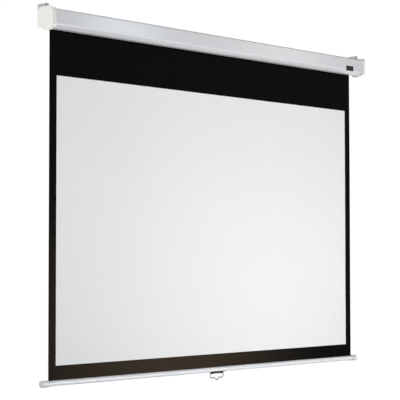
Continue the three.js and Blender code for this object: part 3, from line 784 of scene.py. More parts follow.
def run_tree(piece: Piece, tree: Tree, values: dict) -> None:
    """Runs a geometry tree on a piece and keeps the mesh that it makes.

    Args:
        piece: The object that the tree starts from.
        tree: The tree.
        values: Its inputs' values, by name.
    """
    modifier = piece.modifiers.new("tree", "NODES")
    modifier.node_group = tree
    for item in tree.interface.items_tree:
        if item.in_out == "INPUT" and item.name in values:
            modifier[item.identifier] = values[item.name]
    settle(piece)


@dataclass
class Casing:
    """The folded steel section, open along a slot in its underside.

    Args:
        wall: Sheet thickness.
        top_radius: Round of the upper front edge.
        back_radius: Round of the two rear edges.
        chamfer_depth: Depth of the sloping lower front.
        chamfer_height: Its height.
        chamfer_radius: Round of its two edges.
        slot_width: The slot that the cloth comes out of.
        slot_curl: Height of the turned up lips.
        rear_rise: Height of the rear lip over the bottom.
        screw_hole: Diameter of the holes for the hanger screws.
        low: Lowest corner of its box.
        high: Highest corner of its box.
    """

    wall: float = 1.0 * MM
    top_radius: float = 7 * MM
    back_radius: float = 2 * MM
    chamfer_depth: float = 31 * MM
    chamfer_height: float = 13 * MM
    chamfer_radius: float = 9 * MM
    slot_width: float = 18 * MM
    slot_curl: float = 6 * MM
    rear_rise: float = 9.5 * MM
    screw_hole: float = 4.6 * MM
    low: Vector = field(default_factory=lambda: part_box("casing")[0])
    high: Vector = field(default_factory=lambda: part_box("casing")[1])

    @property
    def lips(self) -> Point2:
        """Depths of the slot's front and rear lip, on both sides of the cloth."""
        middle = middle_of("screen_cloth").y
        return middle - self.slot_width / 2, middle + self.slot_width / 2

    def corners(self) -> list[Triple]:
        """The silhouette's corners, from the rear lip round to the front lip.

        Returns:
            Corners of (depth, height, radius).
        """
        front, top, bottom = self.low.y, self.high.z, self.low.z
        rear_bottom = bottom + self.rear_rise
        front_lip, rear_lip = self.lips
        return [
            (rear_lip, rear_bottom, 0),
            (0, rear_bottom, self.back_radius),
            (0, top, self.back_radius),
            (front, top, self.top_radius),
            (front, bottom + self.chamfer_height, self.chamfer_radius),
            (front + self.chamfer_depth, bottom, self.chamfer_radius),
            (front_lip, bottom, 0),
        ]

    def section(self) -> list[Point2]:
        """The sheet's section.

        Returns:
            A closed outline with both lips turned up.
        """
        corners = self.corners()
        folded = [(y, z, radius or self.back_radius + self.wall) for y, z, radius in corners]
        rear, front = ((y, z + self.slot_curl) for y, z, _ in (corners[0], corners[-1]))
        path = rounded([rear, *folded, front], closed=False)
        return path + shifted(path, self.wall, closed=False)[::-1]

    def build(self) -> None:
        """Makes the casing, with the holes of the hanger screws."""
        shell = along_x("casing_shell", self.section(), (self.low.x, self.high.x))
        ends = (self.high.z - 3 * self.wall, self.high.z + self.wall)
        holes = [
            pin("Z", self.screw_hole / 2, ends, middle_of(f"hanger_screw_{label}_{end}"))
            for label, _ in SIDES
            for end in ENDS
        ]
        combine(shell, Boolean.CUT, holes)
        finish_piece(shade(shell), CASING_PAINT, "case", "casing")


@dataclass
class EndCaps:
    """The moulded caps at the casing's two ends.

    Args:
        casing: The casing that they close.
        end_wall: Wall across the end.
        skirt: Length along the casing.
        proud: Height beyond the casing's top and front.
        foot: Drop below the casing's bottom.
        edge_radius: Round of the outer edge.
        edge_steps: Segments across it.
        corner_radius: Round of the large corners.
        foot_radius: Round of the small corners.
        cheek_height: Upstand beside the hanging bracket.
        cheek_front: Where the upstand starts, from the back.
        cheek_back: Where it ends.
        cheek_radius: Round of its front corner.
        cheek_edge: Width of its broken edges.
        boss_length: Length of the bracket bosses.
        boss_radius: Their radius.
        pilot_radius: Their screw holes.
        gap: Clearance round the casing.
    """

    casing: Casing
    end_wall: float = 3 * MM
    skirt: float = 24 * MM
    proud: float = 2.8 * MM
    foot: float = 8 * MM
    edge_radius: float = 5 * MM
    edge_steps: int = 8
    corner_radius: float = 9 * MM
    foot_radius: float = 6 * MM
    cheek_height: float = 8 * MM
    cheek_front: float = 98 * MM
    cheek_back: float = 12 * MM
    cheek_radius: float = 7 * MM
    cheek_edge: float = 0.5 * MM
    boss_length: float = 8 * MM
    boss_radius: float = 4.5 * MM
    pilot_radius: float = 1.8 * MM
    gap: float = 0.3 * MM

    def outline(self) -> list[Point2]:
        """The cap's outer outline.

        Returns:
            Points of (depth, height).
        """
        casing = self.casing
        front, top = casing.low.y - self.proud, casing.high.z + self.proud
        bottom = casing.low.z - self.foot
        rear_bottom = casing.low.z + casing.rear_rise - self.proud
        front_lip, rear_lip = casing.lips
        return rounded(
            [
                (0, rear_bottom, self.foot_radius),
                (0, top, self.foot_radius),
                (front, top, self.corner_radius),
                (front, bottom + casing.chamfer_height, self.corner_radius),
                (casing.low.y + casing.chamfer_depth, bottom, self.corner_radius),
                (front_lip, bottom, self.foot_radius),
                (rear_lip, rear_bottom, self.foot_radius),
            ]
        )

    def body(self, side: int, outer: float) -> Piece:
        """The rounded block before it is hollowed.

        Args:
            side: 1 for the right cap, -1 for the left.
            outer: Where the outer face lies, from the casing's middle.

        Returns:
            The block.
        """
        outline, radius = self.outline(), self.edge_radius
        edge = arc(radius, 0, math.pi / 2, self.edge_steps)
        rings = [(0.0, outer - self.skirt)]
        rings += [(radius - across, outer - radius + along) for across, along in edge]
        return loft(
            "block",
            [[Vector((side * x, y, z)) for y, z in shifted(outline, inset)] for inset, x in rings],
        )

    def cheek(self, side: int, outer: float) -> Piece:
        """The upstand on top of a cap, beside its hanging bracket.

        Args:
            side: 1 for the right cap, -1 for the left.
            outer: Where the outer face lies, from the casing's middle.

        Returns:
            The upstand.
        """
        foot = self.casing.high.z + self.proud - 2 * self.edge_radius
        top = self.casing.high.z + self.proud + self.cheek_height
        outline = rounded(
            [
                (-self.cheek_front, foot, 0),
                (-self.cheek_back, foot, 0),
                (-self.cheek_back, top, self.edge_radius),
                (-self.cheek_front, top, self.cheek_radius),
            ],
            steps=10,
        )
        piece = along_x("cheek", outline, (side * (outer - self.end_wall), side * outer))
        return break_edges(piece, self.cheek_edge, segments=3, angle=math.radians(30))

    def build_one(self, label: str, side: int) -> None:
        """Makes one cap.

        Args:
            label: The side's name.
            side: 1 for right, -1 for left.
        """
        casing = self.casing
        outer = max(abs(x) for x in span_of(f"end_cap_{label}"))
        face = outer - self.end_wall
        outline = shifted(rounded(casing.corners()), -self.gap)
        open_end = outer - self.skirt - self.end_wall
        pocket = along_x("pocket", outline, (side * open_end, side * face))
        cap = combine(self.body(side, outer), Boolean.JOIN, [self.cheek(side, outer)])
        combine(cap, Boolean.CUT, [pocket])
        boss_ends = (side * (face - self.boss_length), side * (outer - self.end_wall / 2))
        pilot_ends = (side * (face - 2 * self.boss_length), side * face)
        bore_ends = (casing.high.z - self.proud, casing.high.z + 2 * self.proud)
        bosses, pilots, bores = [], [], []
        for place in ENDS:
            at = middle_of(f"bracket_screw_{label}_{place}")
            bosses.append(pin("X", self.boss_radius, boss_ends, at))
            pilots.append(pin("X", self.pilot_radius, pilot_ends, at))
            at = middle_of(f"hanger_screw_{label}_{place}")
            bores.append(pin("Z", casing.screw_hole / 2, bore_ends, at))
        combine(cap, Boolean.JOIN, bosses)
        combine(cap, Boolean.CUT, pilots + bores)
        cap.name = f"cap_{label}"
        finish_piece(shade(cap), CAP_ABS, "case", f"end_cap_{label}")

    def build(self) -> None:
        """Makes both caps."""
        for label, side in SIDES:
            self.build_one(label, side)


@dataclass
class Brackets:
    """The folded steel channels on the caps, and the plates that carry the roller.

    Args:
        edge: Width of the broken edges.
    """

    edge: float = 0.35 * MM

    def build(self) -> None:
        """Makes both hanging brackets and both roller plates."""
        for label, _ in SIDES:
            for kind, name in (("hanger", "hanging_bracket"), ("roller_bracket", "roller_plate")):
                node = f"{kind}_{label}"
                piece = refined_copy(node, f"{name}_{label}", self.edge)
                finish_piece(piece, ZINC_SHEET, "case", node)


@dataclass
class BlankPlate:
    """The bare dark plate near the right end of the casing's front.

    Args:
        width: Along the casing.
        height: Upwards.
        thickness: How far it stands proud.
        from_end: Its right edge, from the end face of the right cap.
        top: Its upper edge.
        corner: Round of its corners.
        edge: Width of its broken edge.
    """

    width: float = 62 * MM
    height: float = 27 * MM
    thickness: float = 0.8 * MM
    from_end: float = 103 * MM
    top: float = -3 * MM
    corner: float = 1.5 * MM
    edge: float = 0.3 * MM

    def build(self, casing: Casing) -> None:
        """Makes the plate.

        Args:
            casing: The casing that it is stuck to.
        """
        right = span_of("end_cap_right")[1] - self.from_end
        left, low = right - self.width, self.top - self.height
        corners = ((left, low), (right, low), (right, self.top), (left, self.top))
        outline = rounded([(*corner, self.corner) for corner in corners], steps=6)
        rings = [(0.0, 0.0), (0.0, self.thickness - self.edge), (self.edge, self.thickness)]
        layers = [(casing.low.y - out, shifted(outline, inset)) for inset, out in rings]
        plate = loft("blank_plate", [[Vector((x, y, z)) for x, z in layer] for y, layer in layers])
        finish_piece(shade(plate, angle=25), BLANK_PLATE, "case")


@dataclass
class PanHeadScrews:
    """One set of like screws, placed along lines by a geometry tree.

    Args:
        name: The set's name.
        nodes: The frame nodes that it stands for.
        body: The body that it rides on.
        down: The way that the screws point.
        shank: Shank diameter.
        head: Head diameter.
        head_height: Head height.
        rim: Height of the head's rim, as a share of the head's height.
        crown_steps: Segments of the head's crown.
        arm: Half the length of the recess, as a share of the head.
        arm_half: Half the width of the recess, as a share of the head.
        sunk: Depth of the recess, as a share of the head's height.
        over: How far the cutter of the recess stands out.
        steps: Segments round a screw.
    """

    name: str
    nodes: Sequence[str]
    body: str
    down: Triple
    shank: float
    head: float
    head_height: float
    rim: float = 0.35
    crown_steps: int = 7
    arm: float = 0.3
    arm_half: float = 0.055
    sunk: float = 0.55
    over: float = 0.2 * MM
    steps: int = 32

    def one(self, length: float) -> Piece:
        """One screw with a cross recess, its seat at zero, pointing down.

        Args:
            length: From the seat to the tip.

        Returns:
            The screw.
        """
        radius, head, high = self.shank / 2, self.head / 2, self.head_height
        crown = arc(1, 0, math.pi / 2, self.crown_steps)[:-1]
        profile = [(0, -length), (radius / 2, -length), (radius, radius - length), (radius, 0)]
        profile.append((head, 0))
        profile += [(head * a, high * (self.rim + (1 - self.rim) * b)) for a, b in crown]
        profile.append((0, high))
        piece = turned("screw", profile, (0, 0), self.steps)
        piece.data.transform(Matrix.Rotation(-math.pi / 2, 4, "Y"))
        bottom, top = high - high * self.sunk, high + self.over
        half, width = self.head * self.arm, self.head * self.arm_half
        sizes = ((half, width), (width, half))
        cross = [slab((-across, -along, bottom), (across, along, top)) for across, along in sizes]
        return shade(combine(piece, Boolean.CUT, cross), angle=30)

    def tree(self, screw: Piece) -> Tree:
        """The tree that sets a screw along two lines.

        Args:
            screw: The screw to repeat.

        Returns:
            The tree, with inputs for both starts, the steps and the turn.
        """
        starts = ("First Start", "Second Start")
        kinds = {label: "Vector" for label in (*starts, "Step", "Turn")}
        tree, given = start_tree(self.name, {**kinds, "Count": "Int"})
        source = add_node(tree, "GeometryNodeObjectInfo", {"Object": screw}, "Geometry")
        rows = [
            add_node(
                tree, "GeometryNodeMeshLine",
                {"Count": given["Count"], "Start Location": given[start], "Offset": given["Step"]},
                mode="OFFSET",
            )
            for start in starts
        ]
        points = add_node(tree, "GeometryNodeJoinGeometry", {0: rows})
        placed = {"Points": points, "Instance": source, "Rotation": given["Turn"]}
        return end_tree(tree, add_node(tree, "GeometryNodeInstanceOnPoints", placed), SCREW_ZINC)

    def build(self) -> None:
        """Makes the set, from the places of its frame nodes."""
        down = Vector(self.down)
        axis = max(range(3), key=lambda i: abs(down[i]))
        sign = int(down[axis])
        seats = []
        for node in self.nodes:
            head_end, tip = (corner[axis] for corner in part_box(node)[::sign])
            seat = middle_of(node)
            seat[axis] = head_end + sign * self.head_height
            seats.append(seat)
            length = abs(tip - seat[axis])
        seats.sort(key=lambda seat: (round(seat.x, 4), seat.y))
        rows = (seats[: len(seats) // 2], seats[len(seats) // 2 :])
        step = rows[0][1] - rows[0][0] if len(rows[0]) > 1 else Vector()
        screw = self.one(length)
        values = {
            "First Start": tuple(rows[0][0]), "Second Start": tuple(rows[1][0]),
            "Step": tuple(step), "Count": len(rows[0]),
            "Turn": tuple(Vector((0, 0, -1)).rotation_difference(down).to_euler()),
        }
        holder = object_from(self.name, bpy.data.meshes.new(self.name))
        run_tree(holder, self.tree(screw), values)
        bpy.data.objects.remove(screw)
        finish_piece(holder, SCREW_ZINC, self.body, *self.nodes)


@dataclass
class Roller:
    """The tube and the turns of cloth that stay on it.

    Args:
        radius: Outside of the tube.
        wall: Its wall.
        groove_half: Half the width of the groove that holds the cloth.
        groove_depth: Its depth.
        turns: Turns of cloth left on the tube.
        pitch: Growth of the roll in each turn, tight to leave the lower border room at full lift.
        skin: Thickness of the drawn turns, a little under the pitch.
        free_angle: Where the last turn ends, above the line where the cloth hangs down.
        clearance: Between the tube and the first turn.
        steps: Segments round it.
    """

    radius: float = 22.5 * MM
    wall: float = 2.2 * MM
    groove_half: float = 5.3 * MM
    groove_depth: float = 1.1 * MM
    turns: int = 2
    pitch: float = 0.24 * MM
    skin: float = 0.18 * MM
    free_angle: float = math.radians(12)
    clearance: float = 0.2 * MM
    steps: int = 96

    def centre(self) -> Point2:
        """The axis in (Y, Z)."""
        return tuple(joint("roller_spin")["pos_m"][1:])

    def build_tube(self) -> None:
        """Makes the aluminium tube with its groove."""
        y, z = self.centre()
        low, high = span_of("roller_tube")
        edge = math.asin(self.groove_half / self.radius)
        outer = arc(self.radius, math.pi / 2 + edge, 2 * math.pi - 2 * edge, self.steps, (y, z))
        floor = z + self.radius * math.cos(edge) - self.groove_depth
        outer += [(y + self.groove_half, floor), (y - self.groove_half, floor)]
        tube = along_x("tube", outer, (low, high))
        bore_ends = (low - self.wall, high + self.wall)
        bore = pin("X", self.radius - self.wall, bore_ends, Vector((0, y, z)), self.steps)
        combine(tube, Boolean.CUT, [bore])
        tube.name = "aluminium_tube"
        finish_piece(shade(tube), MILL_ALUMINIUM, "roller", "roller_tube")

    def build_turns(self) -> None:
        """Makes the cloth that stays wound, as one spiral sheet."""
        y, z = self.centre()
        count = self.turns * self.steps
        whole = self.turns - self.free_angle / (2 * math.pi)
        faces = []
        for lift in (self.skin, 0.0):
            face = []
            for step in range(count + 1):
                turn = whole * step / count
                angle = 2 * math.pi * (self.turns - turn)
                radius = self.radius + self.clearance + self.pitch * turn + lift
                face.append((y + radius * math.cos(angle), z + radius * math.sin(angle)))
            faces.append(face)
        outer, inner = faces
        roll = along_x("wound_cloth", outer + inner[::-1], span_of("wound_turns"))
        finish_piece(shade(roll), BLACK_CLOTH, "roller", "wound_turns")


@dataclass
class Cloth:
    """The hanging cloth: black through and behind, with a matt white picture area in front.

    Args:
        thickness: The black cloth.
        coat: The white coat.
        coat_lift: Between the two.
        wave: Height of its slight waves.
        ripples: Its waves: share of the height, half waves across, turns in radians from top to
            bottom, and start in radians.
        calm: How fast the waves grow away from the held edges, as a power.
        edge_pull: How far its side edges come forward, as a share of the wave.
        edge_power: How close to the side edges that stays, as a power.
        columns: Cells across.
        rows: Cells down.
        border_rows: Cells down the lower border.
        hidden_top: Where it is drawn together inside the casing as the bar rises. Not used.
        rise: How far it stands up beside the end of the roll.
        seam_gap: Between the hanging cloth and its lower border.
    """

    thickness: float = 0.36 * MM
    coat: float = 0.12 * MM
    coat_lift: float = 0.04 * MM
    wave: float = 1.1 * MM
    ripples: tuple[tuple[float, float, float, float], ...] = (
        (0.55, 2.3, 2.0, 0.0), (0.3, 5.1, -3.1, 1.1), (0.15, 0.0, 3.0 * math.pi, 0.6),
    )
    calm: float = 1.5
    edge_pull: float = 0.6
    edge_power: int = 6
    columns: int = 120
    rows: int = 80
    border_rows: int = 8
    hidden_top: float = 27 * MM
    rise: float = 5.2 * MM
    seam_gap: float = 0.02 * MM

    def bow(self, x: float, z: float) -> float:
        """How far the cloth stands off its plane.

        Args:
            x: Along the screen.
            z: Height, zero at the roller.

        Returns:
            A distance to the rear, in metres.
        """
        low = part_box("screen_cloth")[0]
        down = max(0.0, min(1.0, z / low.z))
        held = (4 * down * (1 - down)) ** self.calm
        across = x / low.x
        ripple = sum(
            share * math.sin(waves * math.pi * across + turn * down + start)
            for share, waves, turn, start in self.ripples
        )
        return self.wave * held * (ripple - self.edge_pull * abs(across) ** self.edge_power)

    def sheet(self, name: str, half: float, high: float, low: float, front: float,
              thickness: float, rows: int) -> Piece:
        """A thin closed sheet that follows the cloth's slight waves.

        Args:
            name: The object's name.
            half: Half its width.
            high: Its upper edge.
            low: Its lower edge.
            front: Depth of its front face where the cloth is flat.
            thickness: Its thickness.
            rows: Cells down.

        Returns:
            The sheet.
        """
        made = bmesh.new()
        across = [half * (2 * i / self.columns - 1) for i in range(self.columns + 1)]
        heights = [high + (low - high) * row / rows for row in range(rows + 1)]
        grids = [
            [[made.verts.new((x, y + self.bow(x, z), z)) for x in across] for z in heights]
            for y in (front, front + thickness)
        ]
        strips = [pair for grid in grids for pair in zip(grid, grid[1:])]
        strips += [[[row[end] for row in grid] for grid in grids] for end in (0, -1)]
        strips += [[grid[end] for grid in grids] for end in (0, -1)]
        for one, other in strips:
            for i in range(len(one) - 1):
                made.faces.new((one[i], one[i + 1], other[i + 1], other[i]))
        return shade(object_from_bmesh(name, made), angle=40)

    def build(self) -> None:
        """Makes the black cloth, its lower border and the white coat, and sets the body each rides on."""
        low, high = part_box("screen_cloth")
        coat_low, coat_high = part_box("viewing_surface")
        seam = coat_low.z
        half, white_half = high.x, coat_high.x
        top, border_top = high.z + self.rise, seam - self.seam_gap
        black, white = (low.y, self.thickness), (low.y - self.coat_lift - self.coat, self.coat)
        upper = self.sheet("hanging_cloth", half, top, seam, *black, self.rows)
        border = self.sheet("lower_border", half, border_top, low.z, *black, self.border_rows)
        picture = self.sheet("picture_coat", white_half, coat_high.z, seam, *white, self.rows)
        finish_piece(upper, BLACK_CLOTH, "case", "screen_cloth")
        finish_piece(border, BLACK_CLOTH, "weight_bar", "screen_cloth")
        finish_piece(picture, WHITE_COAT, "case", "viewing_surface")
        for piece in (upper, picture):
            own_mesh(piece)


@dataclass
class WeightBar:
    """The round bar at the cloth's lower edge, with its two caps.

    Args:
        wall: Wall of the tube.
        slot: Width of the slot on top.
        hole: Diameter of the holes for the saddle's screws.
        cap_wall: End wall of a cap.
        cap_dish: Depth of the dish in a cap's face.
        dish_steps: Segments of the dish's round edge.
        cap_rim: Width of the rim round the dish.
        cap_rounding: Round of a cap's outer edge.
        rounding_steps: Segments across it.
        gap: Clearance of a cap round the tube.
        steps: Segments round the bar.
    """

    wall: float = 1.2 * MM
    slot: float = 3 * MM
    hole: float = 3.2 * MM
    cap_wall: float = 4.3 * MM
    cap_dish: float = 1.2 * MM
    dish_steps: int = 6
    cap_rim: float = 3.4 * MM
    cap_rounding: float = 3.2 * MM
    rounding_steps: int = 10
    gap: float = 0.3 * MM
    steps: int = 96

    def place(self) -> Triple:
        """Where the bar lies.

        Returns:
            Its depth, height and radius.
        """
        low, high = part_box("bar_tube")
        radius = (high.y - low.y) / 2
        return (high.y + low.y) / 2, low.z + radius, radius

    def build_tube(self) -> None:
        """Makes the painted tube, open along its top, with the two screw holes."""
        y, z, radius = self.place()
        bore = radius - self.wall
        edge = math.asin(self.slot / 2 / bore)
        outer, inner = (
            arc(size, math.pi / 2 + edge, 2 * math.pi - 2 * edge, self.steps, (y, z))
            for size in (radius, bore)
        )
        tube = along_x("painted_bar", outer + inner[::-1], span_of("bar_tube"))
        ends = (z - radius - self.wall, z - bore + self.wall)
        holes = [
            pin("Z", self.hole / 2, ends, middle_of(f"saddle_screw_{label}")) for label, _ in SIDES
        ]
        combine(tube, Boolean.CUT, holes)
        finish_piece(shade(tube), LIGHTENED_BAR_PAINT, "weight_bar", "bar_tube")

    def cap_profile(self, outer: float, inner: float, bore: float, end: float) -> list[Point2]:
        """A cap's profile of (radius, x).

        Args:
            outer: The cap's radius.
            inner: Where its skirt ends.
            bore: Radius of its bore.
            end: Where its outer face lies.

        Returns:
            The profile.
        """
        curve, sunk = self.cap_rounding, self.cap_dish
        dish = outer - curve - self.cap_rim
        quarter = arc(curve, 0, math.pi / 2, self.rounding_steps, (outer - curve, end - curve))
        lip = arc(sunk, math.pi / 2, math.pi / 2, self.dish_steps, (dish + sunk, end - sunk))
        # Two short slopes break the skirt's edge, next to its bore.
        return [
            (0, end - self.cap_wall),
            (bore, end - self.cap_wall),
            (bore, inner),
            (outer - sunk / 2, inner),
            (outer - sunk / 8, inner + sunk / 4),
            (outer, inner + sunk),
            *quarter,
            *lip,
            (0, end - sunk),
        ]

    def build_caps(self) -> None:
        """Makes the two end caps."""
        y, z, bar_radius = self.place()
        for label, side in SIDES:
            low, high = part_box(f"bar_cap_{label}")
            inner, end = sorted((abs(low.x), abs(high.x)))
            profile = self.cap_profile((high.y - low.y) / 2, inner, bar_radius + self.gap, end)
            cap = turned(f"bar_end_{label}", profile, (y, z), self.steps, side)
            finish_piece(shade(cap), BAR_CAP_PP, "weight_bar", f"bar_cap_{label}")


@dataclass
class PullHandle:
    """The bent wire handle and the saddle that it turns in.

    Args:
        wire: Wire diameter.
        wire_steps: Segments round the wire.
        bend_steps: Segments in each bend.
        spacing: Between rings along the wire.
        stub: Where the wire's end lies, from the middle.
        width: Overall width between wire middles.
        bottom_width: Between its two lowest bends.
        drop: Of those bends.
        waist_width: Between the two upper bends beside the tip.
        waist_drop: Of those bends.
        tip_drop: Of the tip.
        bend: Radius of the bends at the top and the bottom.
        waist_bend: Radius of the upper bends beside the tip.
        tip_bend: Radius of the tip.
        edge: Width of the saddle's broken edges.
        web: Thickness of the web between the saddle's knuckles.
        web_half: Half its length.
        web_lift: How far it ends above the knuckles' undersides.
        web_sunk: How far below the bar it starts, inside the saddle's sheet.
    """

    wire: float = 4.4 * MM
    wire_steps: int = 24
    bend_steps: int = 12
    spacing: float = 0.8 * MM
    stub: float = 24 * MM
    width: float = 101 * MM
    bottom_width: float = 78 * MM
    drop: float = 25 * MM
    waist_width: float = 42 * MM
    waist_drop: float = 19.5 * MM
    tip_drop: float = 34.5 * MM
    bend: float = 7 * MM
    waist_bend: float = 5 * MM
    tip_bend: float = 4 * MM
    edge: float = 0.3 * MM
    web: float = 1.6 * MM
    web_half: float = 23.5 * MM
    web_lift: float = 1.6 * MM
    web_sunk: float = 1 * MM

    def corners(self) -> list[Triple]:
        """The wire's route, from one end to the other.

        Returns:
            Corners of (x, height, radius).
        """
        half = [
            (self.stub, 0.0, 0.0),
            (self.width / 2, 0.0, self.bend),
            (self.bottom_width / 2, -self.drop, self.bend),
            (self.waist_width / 2, -self.waist_drop, self.waist_bend),
        ]
        other = [(-x, up, radius) for x, up, radius in reversed(half)]
        return [*half, (0.0, -self.tip_drop, self.tip_bend), *other]

    def tree(self) -> Tree:
        """The tree that turns the route into a round wire.

        Returns:
            The tree, with inputs for the wire's radius and the spacing along it.
        """
        tree, given = start_tree("bent_wire", {"Wire Radius": "Float", "Spacing": "Float"})
        route = add_node(tree, "GeometryNodeMeshToCurve", {"Mesh": given["Geometry"]})
        bend = add_node(tree, "GeometryNodeInputNamedAttribute", {"Name": "bend"}, "Attribute")
        bent = add_node(
            tree, "GeometryNodeFilletCurve",
            {"Curve": route, "Count": self.bend_steps, "Radius": bend, "Limit Radius": True},
            mode="POLY",
        )
        spaced = {"Curve": bent, "Length": given["Spacing"]}
        even = add_node(tree, "GeometryNodeResampleCurve", spaced, mode="LENGTH")
        circle = {"Resolution": self.wire_steps, "Radius": given["Wire Radius"]}
        ring = add_node(tree, "GeometryNodeCurvePrimitiveCircle", circle)
        swept = {"Curve": even, "Profile Curve": ring, "Fill Caps": True}
        return end_tree(tree, add_node(tree, "GeometryNodeCurveToMesh", swept), HANDLE_WIRE)

    def build_wire(self) -> None:
        """Makes the handle along its route."""
        _, y, z = joint("handle_swing")["pos_m"]
        corners = self.corners()
        mesh = bpy.data.meshes.new("handle_route")
        points = [(x, y, z + up) for x, up, _ in corners]
        mesh.from_pydata(points, [(i, i + 1) for i in range(len(points) - 1)], [])
        bend = mesh.attributes.new("bend", "FLOAT", "POINT")
        bend.data.foreach_set("value", [radius for _, _, radius in corners])
        wire = object_from("wire_handle", mesh)
        run_tree(wire, self.tree(), {"Wire Radius": self.wire / 2, "Spacing": self.spacing})
        finish_piece(shade(wire, angle=50), HANDLE_WIRE, "handle", "pull_handle")

    def build_saddle(self) -> None:
        """Makes the dark saddle under the bar, with the folded web between its knuckles."""
        piece = refined_copy("handle_saddle", "wire_saddle", self.edge)
        depth, half = joint("handle_swing")["pos_m"][1], self.web / 2
        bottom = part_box("handle_saddle")[0].z + self.web_lift
        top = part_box("bar_tube")[0].z - self.web_sunk
        web = slab((-self.web_half, depth - half, bottom), (self.web_half, depth + half, top))
        combine(piece, Boolean.JOIN, [web])
        finish_piece(piece, BLACK_SHEET, "weight_bar", "handle_saddle")


@dataclass(frozen=True)
class Softbox:
    """One soft lamp.

    Args:
        name: The lamp's name.
        at: Its place.
        aim: What it points at.
        size: Its width and height.
        power: Watts.
        colour: sRGB hex.
    """

    name: str
    at: Triple
    aim: Triple
    size: Point2
    power: float
    colour: str

    def build(self) -> None:
        """Sets up the lamp."""
        data = bpy.data.lights.new(self.name, "AREA")
        data.shape = "RECTANGLE"
        data.size, data.size_y = self.size
        data.energy = self.power
        data.color = linear(self.colour)[:3]
        lamp = bpy.data.objects.new(self.name, data)
        lamp.location = self.at
        aim = Vector(self.aim) - Vector(self.at)
        lamp.rotation_euler = aim.to_track_quat("-Z", "Y").to_euler()
        lamp.visible_camera = False
        bpy.context.scene.collection.objects.link(lamp)


# The casing's front mirrors the first. The others fill in from below, right, left and above.
SOFTBOXES = (
    Softbox("patch_softbox", (3.42, -4.6, 1.0), (-0.7, 0, -0.1), (0.5, 1.3), 12.4, "E4F0FF"),
    Softbox("low_softbox", (0.8, -2.45, -1.92), (-1.5, 0, 0.43), (1.2, 0.2), 51, "FFFEFA"),
    Softbox("right_softbox", (3.75, -3.0, 0.62), (0.4, 0, -0.4), (0.6, 0.9), 3.5, "FFFFFF"),
    Softbox("left_softbox", (-4.4, -0.35, 0.2), (-1.1, -0.05, 0), (1.0, 1.0), 74, "FAFCFF"),
    Softbox("top_softbox", (0, 0.9, 2.6), (0, 0, 0), (2.4, 0.8), 50, "FFFFFF"),
)


